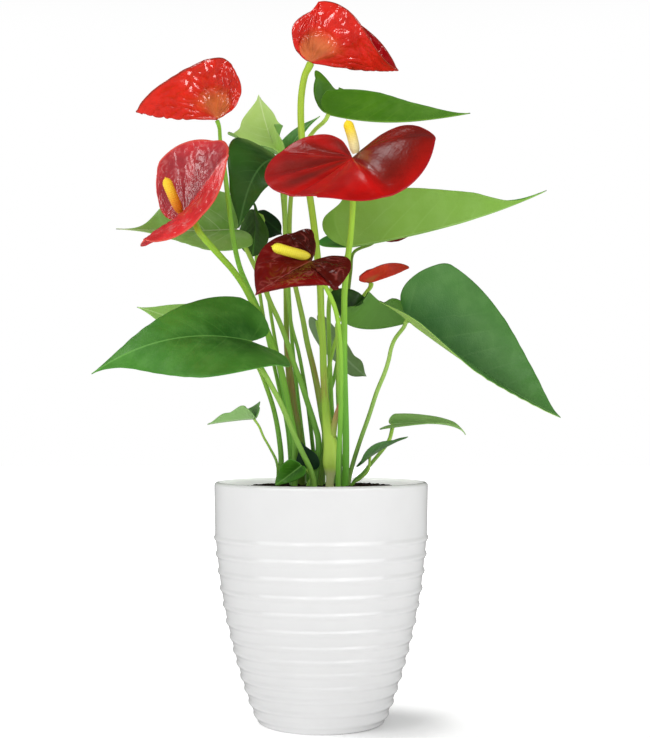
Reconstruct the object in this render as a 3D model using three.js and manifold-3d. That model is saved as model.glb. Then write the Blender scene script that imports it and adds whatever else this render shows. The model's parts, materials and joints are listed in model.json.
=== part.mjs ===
// A potted anthurium: seven red blooms and eighteen leaves that grow from one crown, in a ribbed white pot.
// Millimetres, +Z up. The origin is the centre of the pot's flat foot, and -Y is the side seen in the photograph.
// Every blade is a thin sheet: a flat heart outline, bent along its midrib, folded and cupped across it, and
// given its thickness. Every stem is a tapered tube along a smooth curve, standing in a plain hole in the soil.

import * as THREE from "three";
import { mergeVertices } from "three/addons/utils/BufferGeometryUtils.js";
import Module from "manifold-3d";

const wasm = await Module();
wasm.setup();

// Driving dimensions
const POT_HEIGHT = 142.3;
const POT_RIM_RADIUS = 63.8;
const POT_WALL = 5;
const POT_FLOOR = 6;
const POT_SIDES = 32;
const RING_PROUD = 1;
const RING_HALF = 2.1;
const SOIL_TOP = 138;
const SOIL_GAP = 0.3;
const BLADE_THICKNESS = 1;
const HOLE_GAP = 0.35;
const JOINT_GAP = 0.45;

// Radius of the pot's body between its rings, by height
const POT_BODY = [
  [0, 37.2],
  [12, 42.2],
  [28, 47.4],
  [43, 51.6],
  [60, 55.8],
  [80, 59.6],
  [100, 62],
  [112, 63.2],
  [142.3, 63.8],
];

// Heights of the thirteen raised rings, top to bottom
const RINGS = [109.3, 99.6, 89.6, 79.3, 69.7, 59.7, 50.5, 42.7, 35.2, 27.2, 19.8, 12, 4.9];

// Half outlines of a blade: how far along the midrib and how far across it, from the tip round to the sinus
const LEAF = [
  [1, 0],
  [0.93, 0.045],
  [0.8, 0.2],
  [0.6, 0.52],
  [0.35, 0.86],
  [0.12, 1],
  [-0.08, 0.95],
  [-0.22, 0.7],
  [-0.26, 0.42],
  [-0.21, 0.21],
  [-0.09, 0.075],
];
const SPATHE = [
  [1, 0],
  [0.95, 0.06],
  [0.85, 0.25],
  [0.65, 0.58],
  [0.4, 0.86],
  [0.15, 1],
  [-0.1, 0.98],
  [-0.3, 0.78],
  [-0.38, 0.5],
  [-0.3, 0.26],
  [-0.13, 0.09],
];

// The stretch of the midrib, as a share of its length, where a blade's own slimness narrows its tip
const TIP_FROM = 0.6;
const TIP_TO = 0.9;

const RADIAN = Math.PI / 180;

// Materials
const GLAZE = { color: 0xf2f2f0, roughness: 0.3, metalness: 0 };
const SOIL = { color: 0x2a1d14, roughness: 1, metalness: 0 };
const SPATHE_RED = { color: 0xc81c1e, roughness: 0.25, metalness: 0 };
const SPATHE_DARK = { color: 0x6e1018, roughness: 0.25, metalness: 0 };
const SPADIX_YELLOW = { color: 0xf2d23a, roughness: 0.6, metalness: 0 };
const LEAF_GREEN = { color: 0x2f7a32, roughness: 0.35, metalness: 0 };
const LEAF_PALE = { color: 0x8fbf6a, roughness: 0.45, metalness: 0 };
const STEM_GREEN = { color: 0x86b83c, roughness: 0.45, metalness: 0 };

// Blades. A blade runs from its joint, where the stem meets it, to its tip; middle pulls the midrib to a curve.
// face is where its upper side looks. width is the half width, fold how far each half is raised (at the joint and
// at the tip), cup how much it curls, lobe how far the basal lobe is raised, each as left, right (degrees and mm).
const SPATHES = {
  upper_left: {
    shape: "spathe",
    rows: 4,
    steps: 11,
    joint: [-64.5, 19.5, 365],
    middle: [-89.5, -8, 360],
    tip: [-113, 8.5, 367.5],
    face: [-0.04, 0.06, 1],
    width: [36.5, 34.5],
    fold: [72, 62, 62, 51],
    cup: [0, 34],
    lobe: [10, 29],
    twist: 29,
    full: [0, -0.02],
    back: [1.01, 1],
    slim: 0,
  },
  top: {
    shape: "spathe",
    rows: 4,
    steps: 11,
    joint: [-6.5, 20, 400.5],
    middle: [28.5, 18, 395],
    tip: [47, 7.5, 392.5],
    face: [-0.13, -0.09, 0.99],
    width: [34, 37.5],
    fold: [66, 47, 68, 36],
    cup: [35, 37],
    lobe: [25, 25],
    twist: -5,
    full: [-0.02, -0.01],
    back: [0.99, 1],
    slim: 0,
  },
  left: {
    shape: "spathe",
    rows: 4,
    steps: 11,
    joint: [-79, -22, 298.5],
    middle: [-67, -49.5, 312],
    tip: [-49.5, -87.5, 322],
    face: [-0.77, -0.57, 0.29],
    width: [39, 32.5],
    fold: [12, -67, 52, 27],
    cup: [32, -10],
    lobe: [12, 24],
    twist: -47,
    full: [0.01, 0.24],
    back: [0.91, 1.03],
    slim: -0.35,
  },
  front: {
    shape: "spathe",
    rows: 4,
    steps: 11,
    joint: [17.5, -60, 325.5],
    middle: [0.5, -96, 300],
    tip: [-1.5, -104.5, 297],
    face: [-0.06, -0.31, 0.95],
    width: [51, 46],
    fold: [27, 7, 3, -26],
    cup: [-32, -1],
    lobe: [14, 28],
    twist: 23,
    full: [0, 0],
    back: [0.99, 0.99],
    slim: 0,
  },
  dark: {
    shape: "spathe",
    rows: 4,
    steps: 11,
    joint: [-6.5, -69.5, 266],
    middle: [-16, -71.5, 261],
    tip: [-34.5, -99.5, 245],
    face: [-0.16, -0.46, 0.87],
    width: [31, 28],
    fold: [2, 9, 17, 9],
    cup: [-30, 7],
    lobe: [-4, 68],
    twist: 5,
    full: [0, 0],
    back: [1, 1],
    slim: 0,
  },
  small: {
    shape: "spathe",
    rows: 3,
    steps: 7,
    joint: [31, 29, 265],
    middle: [50, 28.5, 271],
    tip: [54, 21, 273.5],
    face: [-0.03, -0.02, 1],
    width: [9, 8.5],
    fold: [45, 15, 45, 82],
    cup: [32, 12],
    lobe: [36, 2],
    twist: 14,
    full: [0.13, 0.03],
    back: [0.82, 0.67],
    slim: -0.05,
  },
  back: {
    shape: "spathe",
    rows: 3,
    steps: 7,
    joint: [35.5, 46, 294.5],
    middle: [46, 46, 290],
    tip: [58.5, 46, 297.5],
    face: [-0.1, 0.1, 0.99],
    width: [13, 13],
    fold: [30, 30, 40, 40],
    cup: [30, 30],
    lobe: [0, 0],
    twist: 0,
    full: [0, 0],
    back: [1, 1],
    slim: 0,
  },
};

const LEAVES = {
  left_big: {
    shape: "leaf",
    rows: 4,
    steps: 11,
    joint: [-41.5, -23.5, 225],
    middle: [-87, -55.5, 234],
    tip: [-131, -40, 205.5],
    face: [0.05, -0.76, 0.64],
    width: [35.5, 33],
    fold: [22, -12, 12, -10],
    cup: [2, -10],
    lobe: [-14, 9],
    twist: 6,
    full: [0.26, -0.14],
    back: [0.69, 0.6],
    slim: 0,
  },
  left_tip: {
    shape: "leaf",
    rows: 3,
    steps: 7,
    joint: [-65, 18, 229.5],
    middle: [-90, 18, 241.5],
    tip: [-112.5, 14, 248],
    face: [0, -0.75, 0.66],
    width: [19, 19],
    fold: [10, 10, 10, 10],
    cup: [0, 0],
    lobe: [0, 0],
    twist: 0,
    full: [0, 0],
    back: [1, 1],
    slim: 0,
  },
  right_big: {
    shape: "leaf",
    rows: 4,
    steps: 11,
    joint: [51.5, -12.5, 238],
    middle: [110, 4, 196],
    tip: [141, -15, 181],
    face: [0.36, -0.58, 0.73],
    width: [42, 32],
    fold: [84, 44, 41, 12],
    cup: [-42, -17],
    lobe: [17, -29],
    twist: 11,
    full: [0.01, 0.08],
    back: [0.64, 0.74],
    slim: -0.2,
  },
  right_shaded: {
    shape: "leaf",
    rows: 3,
    steps: 9,
    joint: [12.5, 6, 240.5],
    middle: [23.5, 7, 228],
    tip: [65, 10.5, 242],
    face: [0.12, -0.32, 0.94],
    width: [21, 29.5],
    fold: [36, 14, 64, 80],
    cup: [23, -24],
    lobe: [-31, 60],
    twist: 12,
    full: [-0.21, 0.17],
    back: [0.95, 0.44],
    slim: -2.05,
  },
  right_pale: {
    shape: "leaf",
    rows: 4,
    steps: 11,
    joint: [17.5, 10, 284.5],
    middle: [85.5, -24.5, 291.5],
    tip: [133, -17, 314.5],
    face: [0.48, -0.23, 0.85],
    width: [35.5, 32],
    fold: [29, 37, 78, 79],
    cup: [7, 7],
    lobe: [6, 72],
    twist: -10,
    full: [-0.18, -0.04],
    back: [0.85, 0.87],
    slim: 0.7,
  },
  upper_right: {
    shape: "leaf",
    rows: 3,
    steps: 9,
    joint: [5, 21.5, 368.5],
    middle: [43, 16.5, 358],
    tip: [91, 10, 366.5],
    face: [-0.06, -0.15, 0.99],
    width: [20.5, 22.5],
    fold: [55, 35, 33, 76],
    cup: [5, 7],
    lobe: [98, 15],
    twist: 14,
    full: [-0.15, 0.05],
    back: [1.47, 0.24],
    slim: -0.3,
  },
  narrow: {
    shape: "leaf",
    rows: 3,
    steps: 7,
    joint: [-20.5, 60, 353.5],
    middle: [-14, 61, 367],
    tip: [-1, 60, 375.5],
    face: [-0.51, -0.61, 0.61],
    width: [9, 9],
    fold: [20, 10, 20, 10],
    cup: [0, 0],
    lobe: [0, 0],
    twist: 0,
    full: [0, 0],
    back: [1, 1],
    slim: 0,
  },
  upright_pale: {
    shape: "leaf",
    rows: 3,
    steps: 9,
    joint: [-25.5, 49.5, 348.5],
    middle: [-34, 66, 358],
    tip: [-41, 63.5, 390.5],
    face: [-0.28, 0.96, 0],
    width: [21.5, 39],
    fold: [-95, -30, -29, 5],
    cup: [2, -21],
    lobe: [-42, -63],
    twist: -8,
    full: [-0.2, 0.07],
    back: [0.98, 1.36],
    slim: -0.75,
  },
  upper_dark: {
    shape: "leaf",
    rows: 3,
    steps: 9,
    joint: [-27.5, 19.5, 340],
    middle: [-42, -16, 334],
    tip: [-50, 6.5, 295],
    face: [0.11, -0.53, 0.84],
    width: [17, 26.5],
    fold: [-18, -17, 18, 18],
    cup: [44, -9],
    lobe: [-16, -18],
    twist: 15,
    full: [0.06, 0],
    back: [0.6, 0.6],
    slim: -0.55,
  },
  mid_olive: {
    shape: "leaf",
    rows: 3,
    steps: 9,
    joint: [-40, 32.5, 307.5],
    middle: [-42, 30, 285],
    tip: [-43, 30.5, 281],
    face: [-0.85, -0.38, 0.37],
    width: [15.5, 16],
    fold: [42, -31, 21, 24],
    cup: [-30, -22],
    lobe: [36, 3],
    twist: 20,
    full: [0.27, 0.27],
    back: [1.22, 0.6],
    slim: -0.7,
  },
  mid_dark: {
    shape: "leaf",
    rows: 3,
    steps: 7,
    joint: [-39.5, 59, 310.5],
    middle: [-28, 59, 301],
    tip: [-25.5, 58.5, 298.5],
    face: [0.46, -0.84, 0.28],
    width: [8.5, 15.5],
    fold: [-20, -11, 15, -15],
    cup: [-2, 27],
    lobe: [-32, -16],
    twist: -12,
    full: [0.2, 0.21],
    back: [0.85, 0.92],
    slim: 0.4,
  },
  far_left: {
    shape: "leaf",
    rows: 4,
    steps: 11,
    joint: [-53.5, 29, 297.5],
    middle: [-85, 10, 293],
    tip: [-122.5, -6.5, 293],
    face: [0.21, -0.3, 0.93],
    width: [20, 26.5],
    fold: [-1, 10, 55, 42],
    cup: [-33, -17],
    lobe: [-13, 15],
    twist: 11,
    full: [0.23, 0.24],
    back: [0.28, 0.44],
    slim: 0.65,
  },
  low_grey: {
    shape: "leaf",
    rows: 3,
    steps: 7,
    joint: [-2, 53, 241.5],
    middle: [13, 48.5, 217.5],
    tip: [28.5, 44.5, 206.5],
    face: [-0.32, 0.77, 0.55],
    width: [14, 11.5],
    fold: [61, 6, 55, 17],
    cup: [-3, 6],
    lobe: [-18, 6],
    twist: 10,
    full: [-0.18, -0.04],
    back: [0.47, 0.4],
    slim: -1.9,
  },
  low_left: {
    shape: "leaf",
    rows: 3,
    steps: 7,
    joint: [-39.5, -12.5, 180],
    middle: [-45.5, 0.5, 180.5],
    tip: [-68, -0.5, 176.5],
    face: [0.04, 0.17, 0.98],
    width: [8, 10.5],
    fold: [36, 58, 75, 56],
    cup: [10, 2],
    lobe: [-6, 79],
    twist: -17,
    full: [0.21, -0.24],
    back: [0.55, 1.08],
    slim: -1.6,
  },
  low_right: {
    shape: "leaf",
    rows: 3,
    steps: 7,
    joint: [44, 18.5, 176],
    middle: [81.5, 2, 180.5],
    tip: [86, -5.5, 170.5],
    face: [0.03, -0.1, 0.99],
    width: [9, 6.5],
    fold: [38, 12, 4, 13],
    cup: [10, -31],
    lobe: [-29, -36],
    twist: 8,
    full: [-0.16, -0.02],
    back: [0.24, 0.61],
    slim: 0.6,
  },
  low_right_dark: {
    shape: "leaf",
    rows: 3,
    steps: 7,
    joint: [29, -4.5, 157.5],
    middle: [41.5, 1.5, 166],
    tip: [51.5, -8, 169],
    face: [-0.31, -0.46, 0.83],
    width: [4, 11.5],
    fold: [-8, 21, 32, 26],
    cup: [-20, 44],
    lobe: [-17, -29],
    twist: -1,
    full: [-0.06, 0.03],
    back: [1.41, 1.03],
    slim: -0.25,
  },
  base_front: {
    shape: "leaf",
    rows: 3,
    steps: 7,
    joint: [-12, -33.5, 152.5],
    middle: [-23.5, -24, 143.5],
    tip: [-25.5, -33, 142],
    face: [-0.16, -0.89, 0.43],
    width: [6.5, 8],
    fold: [-18, 35, 63, 3],
    cup: [34, -10],
    lobe: [29, 25],
    twist: 33,
    full: [-0.25, -0.01],
    back: [0.59, 0.4],
    slim: -0.4,
  },
  base_dark: {
    shape: "leaf",
    rows: 3,
    steps: 7,
    joint: [-7.5, -13, 153],
    middle: [-9, -14, 158.5],
    tip: [-12, -13, 166.5],
    face: [-0.21, -0.93, 0.31],
    width: [7, 7],
    fold: [8, 8, 8, 8],
    cup: [0, 0],
    lobe: [0, 0],
    twist: 0,
    full: [0, 0],
    back: [1, 1],
    slim: 0,
  },
};

// Stems, by the head that they carry: points from the foot in the soil up, and the radius along them
const FLOWER_STEMS = {
  upper_left: {
    rings: 13,
    radii: [1.9, 1.9, 1.8, 1.7, 1.6, 1.6, 1.5, 1.5, 1.2, 1.1],
    path: [
      [-17, 2, 126],
      [-17, 2, 140],
      [-17.5, 1, 167],
      [-20.5, 2, 185],
      [-23, 4, 200],
      [-26, 6, 214],
      [-31.5, 8, 230.5],
      [-39, 9, 248],
      [-45.5, 7, 262],
      [-49.5, 1, 272.5],
      [-52.5, -7, 287.5],
      [-55, -10, 307],
      [-58, -4, 329],
      [-61.5, 9, 348.5],
      [-63, 19, 359.5],
      [-64.5, 19.5, 364],
    ],
  },
  top: {
    rings: 13,
    radii: [2.2, 2.6, 2.1, 1.9, 1.8, 1.7, 1.6, 1.5, 1.4, 1.4],
    path: [
      [5, -14, 126],
      [5, -14, 140],
      [6, -13, 160],
      [4, -11, 174.5],
      [2.5, -9, 189.5],
      [1.5, -7, 206],
      [1, -5, 224],
      [0, -4, 242],
      [-0.5, -2, 258],
      [-2.5, 1, 280],
      [-5, 5, 301.5],
      [-8, 8, 322],
      [-11, 13, 343],
      [-12.5, 17, 360.5],
      [-12.5, 20, 378],
      [-10.5, 21, 391.5],
      [-8, 20.5, 397],
      [-6.5, 20, 400],
    ],
  },
  left: {
    rings: 13,
    radii: [2, 1.9, 1.8, 1.8, 1.8, 1.8, 1.9, 1.9],
    path: [
      [-16, -7, 126],
      [-16, -7, 140],
      [-15.5, -6, 165.5],
      [-18, -5, 180],
      [-21, -3, 195.5],
      [-24.5, -1, 211],
      [-29.5, 1, 224.5],
      [-35.5, 1, 238],
      [-41.5, -1, 250],
      [-46.5, -5, 259.5],
      [-52.5, -12, 268],
      [-58.5, -18, 274.5],
      [-65.5, -24, 282],
      [-71, -27, 288.5],
      [-74.5, -21.5, 295.5],
      [-78.5, -22, 298.5],
    ],
  },
  front: {
    rings: 13,
    radii: [2.3, 2, 1.9, 1.8, 1.8, 1.7, 1.7],
    path: [
      [14, -12, 126],
      [14, -12, 140],
      [14.5, -14, 152.5],
      [14.5, -17, 170.5],
      [14, -22, 191],
      [13.5, -27, 211],
      [13.5, -32, 231],
      [13.5, -37, 251],
      [15, -43, 269],
      [17, -48, 285.5],
      [18, -54, 303],
      [18, -57, 320.5],
      [17.5, -59.5, 325],
    ],
  },
  dark: {
    rings: 13,
    radii: [1.7, 1.5, 1.4, 1.3, 1.3, 1.3],
    path: [
      [10, -22, 126],
      [10, -22, 140],
      [10, -24, 153],
      [11, -29, 173.5],
      [11.5, -34, 193.5],
      [11.5, -39, 213.5],
      [10.5, -43, 229],
      [8.5, -47, 240.5],
      [5.5, -51, 248.5],
      [1, -56, 256.5],
      [-4, -65.5, 262.5],
      [-6, -69, 265.5],
    ],
  },
  small: {
    rings: 13,
    radii: [1.4, 1.3, 1.2, 1.2, 1.3],
    path: [
      [1, 9, 126],
      [1, 9, 140],
      [3, 12, 176],
      [3, 14, 197],
      [6, 18.5, 217],
      [11.5, 24, 234.5],
      [20.5, 28, 248.5],
      [27.5, 26, 257.5],
      [30.5, 28.5, 261.5],
      [31, 29, 264],
    ],
  },
  back: {
    rings: 13,
    radii: [1.4, 1.2, 1.1, 1, 1],
    path: [
      [8, 21, 126],
      [8, 21, 140],
      [4, 25, 185],
      [8, 29, 205],
      [12.5, 34, 229],
      [16, 37, 251],
      [18.5, 40, 272],
      [20.5, 43, 285],
      [31.5, 45, 290.5],
      [35, 46, 294],
    ],
  },
};

const LEAF_STEMS = {
  left_big: {
    rings: 13,
    radii: [1.7, 1.6, 1.5, 1.5, 1.4],
    path: [
      [-4, -27, 126],
      [-4, -27, 140],
      [-6, -29, 150],
      [-11.5, -31, 162],
      [-17.5, -33, 175.5],
      [-23, -34, 188.5],
      [-29.5, -34, 200.5],
      [-35, -33, 210],
      [-41.5, -22.5, 220],
      [-41.5, -23.5, 225],
    ],
  },
  left_tip: {
    rings: 13,
    radii: [1.8, 1.7, 1.5, 1.4, 1.3, 1.2],
    path: [
      [-26, -1, 126],
      [-26, -1, 140],
      [-24, 0, 154],
      [-25.5, 2, 170],
      [-28.5, 5, 185],
      [-33, 9, 198.5],
      [-39, 14, 212],
      [-50, 18, 224.5],
      [-62.5, 20.5, 226],
      [-65.5, 18, 229],
    ],
  },
  right_big: {
    rings: 13,
    radii: [1.5, 1.4, 1.3, 1.3, 1.3, 1.2, 1.2],
    path: [
      [16, -1, 126],
      [16, -1, 140],
      [18.5, -2, 151.5],
      [23, -4, 166],
      [28.5, -6, 181.5],
      [33, -8, 195.5],
      [37.5, -9, 206.5],
      [40, -10, 214.5],
      [41.5, -10, 221.5],
      [44, -9, 227.5],
      [49, -7, 234],
      [50, -11, 236.5],
      [51, -12.5, 238],
    ],
  },
  right_shaded: {
    rings: 10,
    radii: [1.4, 1.2, 1.1, 1.1],
    path: [
      [11, 3, 126],
      [11, 3, 140],
      [11.5, 3, 167],
      [10, 4, 194],
      [10, 4, 221],
      [9.5, 7, 236.5],
      [12.5, 6, 240.5],
    ],
  },
  right_pale: {
    rings: 10,
    radii: [1.6, 1.5, 1.4, 1.4, 1.3],
    path: [
      [5, -5, 126],
      [5, -5, 140],
      [7, 4, 167],
      [6, 19, 194.5],
      [5, 28, 225.5],
      [5, 30, 253.5],
      [10.5, 24, 273],
      [16, 12, 279.5],
      [17.5, 10, 284],
    ],
  },
  upper_right: {
    rings: 13,
    radii: [2.2, 2.2, 2, 1.7, 1.5, 1.5, 1.4, 1.3, 1.2],
    path: [
      [-1, -1, 126],
      [-1, -1, 140],
      [2.5, 0, 167],
      [0.5, 1, 182.5],
      [-2, 2, 197],
      [-5, 3, 211.5],
      [-8.5, 5, 226],
      [-11, 6, 239.5],
      [-14, 8, 253],
      [-17.5, 13, 269.5],
      [-19.5, 20, 290],
      [-19.5, 24, 306.5],
      [-18.5, 31, 322.5],
      [-15.5, 36.5, 339.5],
      [-11, 36, 351.5],
      [-4.5, 33, 360.5],
      [2, 24, 364.5],
      [4.5, 21.5, 368.5],
    ],
  },
  narrow: {
    rings: 10,
    radii: [1.4, 1.2, 1.1, 1.1],
    path: [
      [-8, 24, 126],
      [-8, 24, 140],
      [-13, 30, 179],
      [-18.5, 42, 229.5],
      [-22, 54, 288],
      [-23, 60, 327.5],
      [-19, 62, 349],
      [-20, 60, 353.5],
    ],
  },
  upright_pale: {
    rings: 13,
    radii: [2.7, 2.8, 2.7, 2.4, 1.7, 1.6, 1.5, 1.4, 1.3, 1.3],
    path: [
      [-12, 9, 126],
      [-12, 9, 140],
      [-13.5, 8, 167],
      [-16, 8, 182],
      [-18, 9, 196],
      [-19.5, 11, 209.5],
      [-21, 14, 224.5],
      [-21.5, 20, 243.5],
      [-22, 27, 266],
      [-22.5, 34, 288.5],
      [-23.5, 40, 308.5],
      [-25, 45, 325],
      [-25.5, 48.5, 339.5],
      [-26, 46.5, 347.5],
      [-25.5, 49.5, 349],
    ],
  },
  upper_dark: {
    rings: 13,
    radii: [1.4, 1.2, 1.1, 1.1, 1.1],
    path: [
      [-3, 14, 126],
      [-3, 14, 140],
      [-7, 10, 179],
      [-10.5, 9, 203],
      [-14, 9, 221.5],
      [-18, 10, 236.5],
      [-20.5, 12, 255],
      [-22, 14, 277],
      [-22.5, 17, 299],
      [-23.5, 21, 318],
      [-27.5, 21, 335],
      [-27.5, 19.5, 340],
    ],
  },
  mid_olive: {
    rings: 10,
    radii: [1.4, 1.2, 1.1, 1.1],
    path: [
      [-18, 10, 126],
      [-18, 10, 140],
      [-20.5, 14, 173],
      [-27, 20, 203.5],
      [-35, 28, 238],
      [-39.5, 34, 266.5],
      [-41, 38.5, 289],
      [-36.5, 35.5, 304.5],
      [-39.5, 33, 307.5],
    ],
  },
  mid_dark: {
    rings: 10,
    radii: [1.3, 1.2, 1.1, 1.1],
    path: [
      [-15, 27, 126],
      [-15, 27, 140],
      [-18, 31, 179],
      [-28, 42, 223],
      [-35, 53, 265],
      [-38.5, 57, 298],
      [-41, 61, 306.5],
      [-40, 59, 310.5],
    ],
  },
  far_left: {
    rings: 13,
    radii: [2, 1.9, 1.7, 1.6, 1.5, 1.5, 1.4, 1.3],
    path: [
      [-4, -8, 126],
      [-4, -8, 140],
      [-1.5, -7, 164],
      [-4, -6, 176.5],
      [-8, -5, 189],
      [-12, -4, 201.5],
      [-16.5, -2, 213.5],
      [-20.5, 0, 226],
      [-25.5, 2, 239],
      [-30.5, 4, 249.5],
      [-36, 8, 263],
      [-42.5, 13, 276.5],
      [-47.5, 17, 286.5],
      [-52, 28.5, 292.5],
      [-53.5, 29, 297],
    ],
  },
  low_grey: {
    rings: 10,
    radii: [1.3, 1.2, 1.1, 1.1],
    path: [
      [17, 19, 126],
      [17, 19, 140],
      [7.5, 29, 172.5],
      [4, 36, 197.5],
      [1.5, 42, 220],
      [-2.5, 48, 239.5],
      [-2, 52.5, 241.5],
    ],
  },
  low_left: {
    rings: 10,
    radii: [0.9, 0.8, 0.8, 0.7, 0.7],
    path: [
      [-26, -9, 126],
      [-26, -9, 140],
      [-26, -10, 153],
      [-30, -10.5, 162],
      [-34, -11, 169],
      [-36.5, -12, 175],
      [-39.5, -12.5, 179.5],
    ],
  },
  low_right: {
    rings: 10,
    radii: [1.2, 1.1, 1.1, 1.2, 1.2],
    path: [
      [19, 7, 126],
      [19, 7, 140],
      [25.5, 8, 147],
      [31.5, 10, 154],
      [37, 12.5, 160.5],
      [41.5, 15, 167],
      [44, 18.5, 176],
    ],
  },
  low_right_dark: {
    rings: 8,
    radii: [0.9, 0.8, 0.8, 0.8],
    path: [
      [18, -8, 126],
      [18, -8, 140],
      [23.5, -8, 144.5],
      [28, -7, 149.5],
      [29, -4.5, 157],
    ],
  },
  base_front: {
    rings: 8,
    radii: [1.1, 1, 0.9, 0.9],
    path: [
      [-6, -21, 126],
      [-6, -21, 140],
      [-5.5, -21, 146.5],
      [-9, -21, 150],
      [-12, -33, 152.5],
    ],
  },
  base_dark: {
    rings: 8,
    radii: [0.9, 0.8, 0.8],
    path: [
      [-8, -14, 126],
      [-8, -14, 140],
      [-6, -14, 145],
      [-7.5, -12.5, 153],
    ],
  },
};


// Spadices: a round spike from the joint, curved a little, with a blunt end
const SPADICES = {
  upper_left: {
    radii: [1.2, 1.8, 2, 2, 2, 2, 2, 1.7, 1],
    path: [
      [-65.5, 19, 368],
      [-67.5, 20, 376],
      [-70, 21, 384],
    ],
  },
  top: {
    radii: [1.2, 1.8, 2, 2, 2, 2, 2, 1.7, 1],
    path: [
      [-5.5, 20, 403.5],
      [-3, 19, 412],
      [-1, 18, 420],
    ],
  },
  left: {
    radii: [1.7, 2.5, 2.8, 2.8, 2.8, 2.8, 2.7, 2.3, 1.3],
    path: [
      [-81.5, -31, 299.5],
      [-85.5, -38.5, 308.5],
      [-89, -42, 317.5],
    ],
  },
  front: {
    radii: [1.8, 2.6, 2.8, 2.8, 2.8, 2.8, 2.7, 2.3, 1.3],
    path: [
      [19.5, -62, 328],
      [17.5, -64, 336.5],
      [14.5, -66, 345.5],
    ],
  },
  dark: {
    radii: [1.8, 2.6, 2.8, 2.8, 2.8, 2.8, 2.7, 2.3, 1.3],
    path: [
      [-6.5, -66, 269.5],
      [-16.5, -72, 271.5],
      [-26.5, -76, 274],
    ],
  },
  back: {
    radii: [0.8, 1.2, 1.3, 1.3, 1.3, 1.3, 1.3, 1.1, 0.7],
    path: [
      [37, 46.5, 297.5],
      [38.5, 48.5, 301],
      [40, 51, 304.5],
    ],
  },
};

// The crown at the soil, and the pointed sheath that stands beside its flower stem
const CROWN = {
  foot: [4.2, -14, 0],
  profile: [
    [0, 140],
    [2.6, 140.5],
    [2.8, 147],
    [3.6, 149.5],
    [4.7, 153],
    [5, 157],
    [4.6, 162],
    [3.6, 167],
    [2.2, 171],
    [0, 171],
  ],
};
const SHEATH = {
  sides: 6,
  rings: 6,
  radii: [1.8, 2, 2.1, 1.9, 1.5, 1, 0.4],
  path: [
    [6, -13.5, 160],
    [8, -13, 170],
    [9.4, -13, 179],
    [11, -12.5, 186],
    [12.3, -12.5, 190.5],
  ],
};

const DARK_SPATHES = ["dark", "back"];
const PALE_LEAVES = ["upright_pale", "right_pale", "left_tip"];

// A smooth curve through points, as count + 1 points evenly spread along the straight path between them
function smoothPoints(points, count) {
  const first = points[0];
  const last = points[points.length - 1];
  const before = first.clone().multiplyScalar(2).sub(points[1]);
  const after = last.clone().multiplyScalar(2).sub(points[points.length - 2]);
  const held = [before, ...points, after];
  const reach = [0];
  for (let i = 1; i < points.length; i++) {
    reach.push(reach[i - 1] + points[i].distanceTo(points[i - 1]));
  }
  const total = reach[reach.length - 1];
  const out = [];
  for (let k = 0; k <= count; k++) {
    const along = (total * k) / count;
    let i = 0;
    while (i < points.length - 2 && reach[i + 1] <= along) {
      i += 1;
    }
    const t = (along - reach[i]) / (reach[i + 1] - reach[i]);
    const [a, b, c, d] = held.slice(i, i + 4);
    const p = b.clone().multiplyScalar(2);
    p.addScaledVector(c.clone().sub(a), t);
    p.addScaledVector(a.clone().multiplyScalar(2).addScaledVector(b, -5).addScaledVector(c, 4).sub(d), t * t);
    p.addScaledVector(b.clone().multiplyScalar(3).sub(a).addScaledVector(c, -3).add(d), t * t * t);
    out.push(p.multiplyScalar(0.5));
  }
  return out;
}

function vectors(rows) {
  return rows.map(([x, y, z = 0]) => new THREE.Vector3(x, y, z));
}

// A point of the midrib and the direction it runs in there
function midrib(blade, u) {
  const [a, b, c] = [blade.joint, blade.middle, blade.tip];
  const point = a.clone().multiplyScalar((1 - u) ** 2);
  point.addScaledVector(b, 2 * u * (1 - u));
  point.addScaledVector(c, u * u);
  const run = b.clone().sub(a).multiplyScalar(2 * (1 - u));
  run.addScaledVector(c.clone().sub(b), 2 * u).normalize();
  return { point, run };
}

function midribLength(blade) {
  let length = 0;
  for (let k = 0; k < 20; k++) {
    length += midrib(blade, k / 20).point.distanceTo(midrib(blade, (k + 1) / 20).point);
  }
  return length;
}

// Where a flat point of the blade (u along the midrib, v across, side 0 left or 1 right) lies in space
function bladePoint(blade, length, side, u, v) {
  const sign = side === 0 ? 1 : -1;
  const ahead = Math.max(u, 0);
  const { point, run } = midrib(blade, ahead);
  const up = blade.face.clone().addScaledVector(run, -blade.face.dot(run)).normalize();
  const left = new THREE.Vector3().crossVectors(up, run);
  const turn = blade.twist * RADIAN * ahead;
  const up1 = up.clone().multiplyScalar(Math.cos(turn)).addScaledVector(left, Math.sin(turn));
  const left1 = left.multiplyScalar(Math.cos(turn)).addScaledVector(up, -Math.sin(turn));
  if (u < 0) {
    const lift = blade.lobe[side] * RADIAN * Math.min(1, -u / 0.3) * 0.5;
    point.addScaledVector(run, u * length * Math.cos(lift));
    point.addScaledVector(up1, -u * length * Math.sin(lift));
    up1.multiplyScalar(Math.cos(2 * lift)).addScaledVector(run, Math.sin(2 * lift));
  }
  const width = blade.width[side];
  const [foldBase, foldTip] = [blade.fold[2 * side], blade.fold[2 * side + 1]];
  const fold = (foldBase + (foldTip - foldBase) * ahead) * RADIAN;
  const bend = (blade.cup[side] * RADIAN) / width;
  const reach = v * width;
  let across = reach * Math.cos(fold);
  let rise = reach * Math.sin(fold);
  if (Math.abs(bend) > 1e-6) {
    across = (Math.sin(fold + bend * reach) - Math.sin(fold)) / bend;
    rise = (Math.cos(fold) - Math.cos(fold + bend * reach)) / bend;
  }
  return point.addScaledVector(left1, sign * across).addScaledVector(up1, rise);
}

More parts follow.
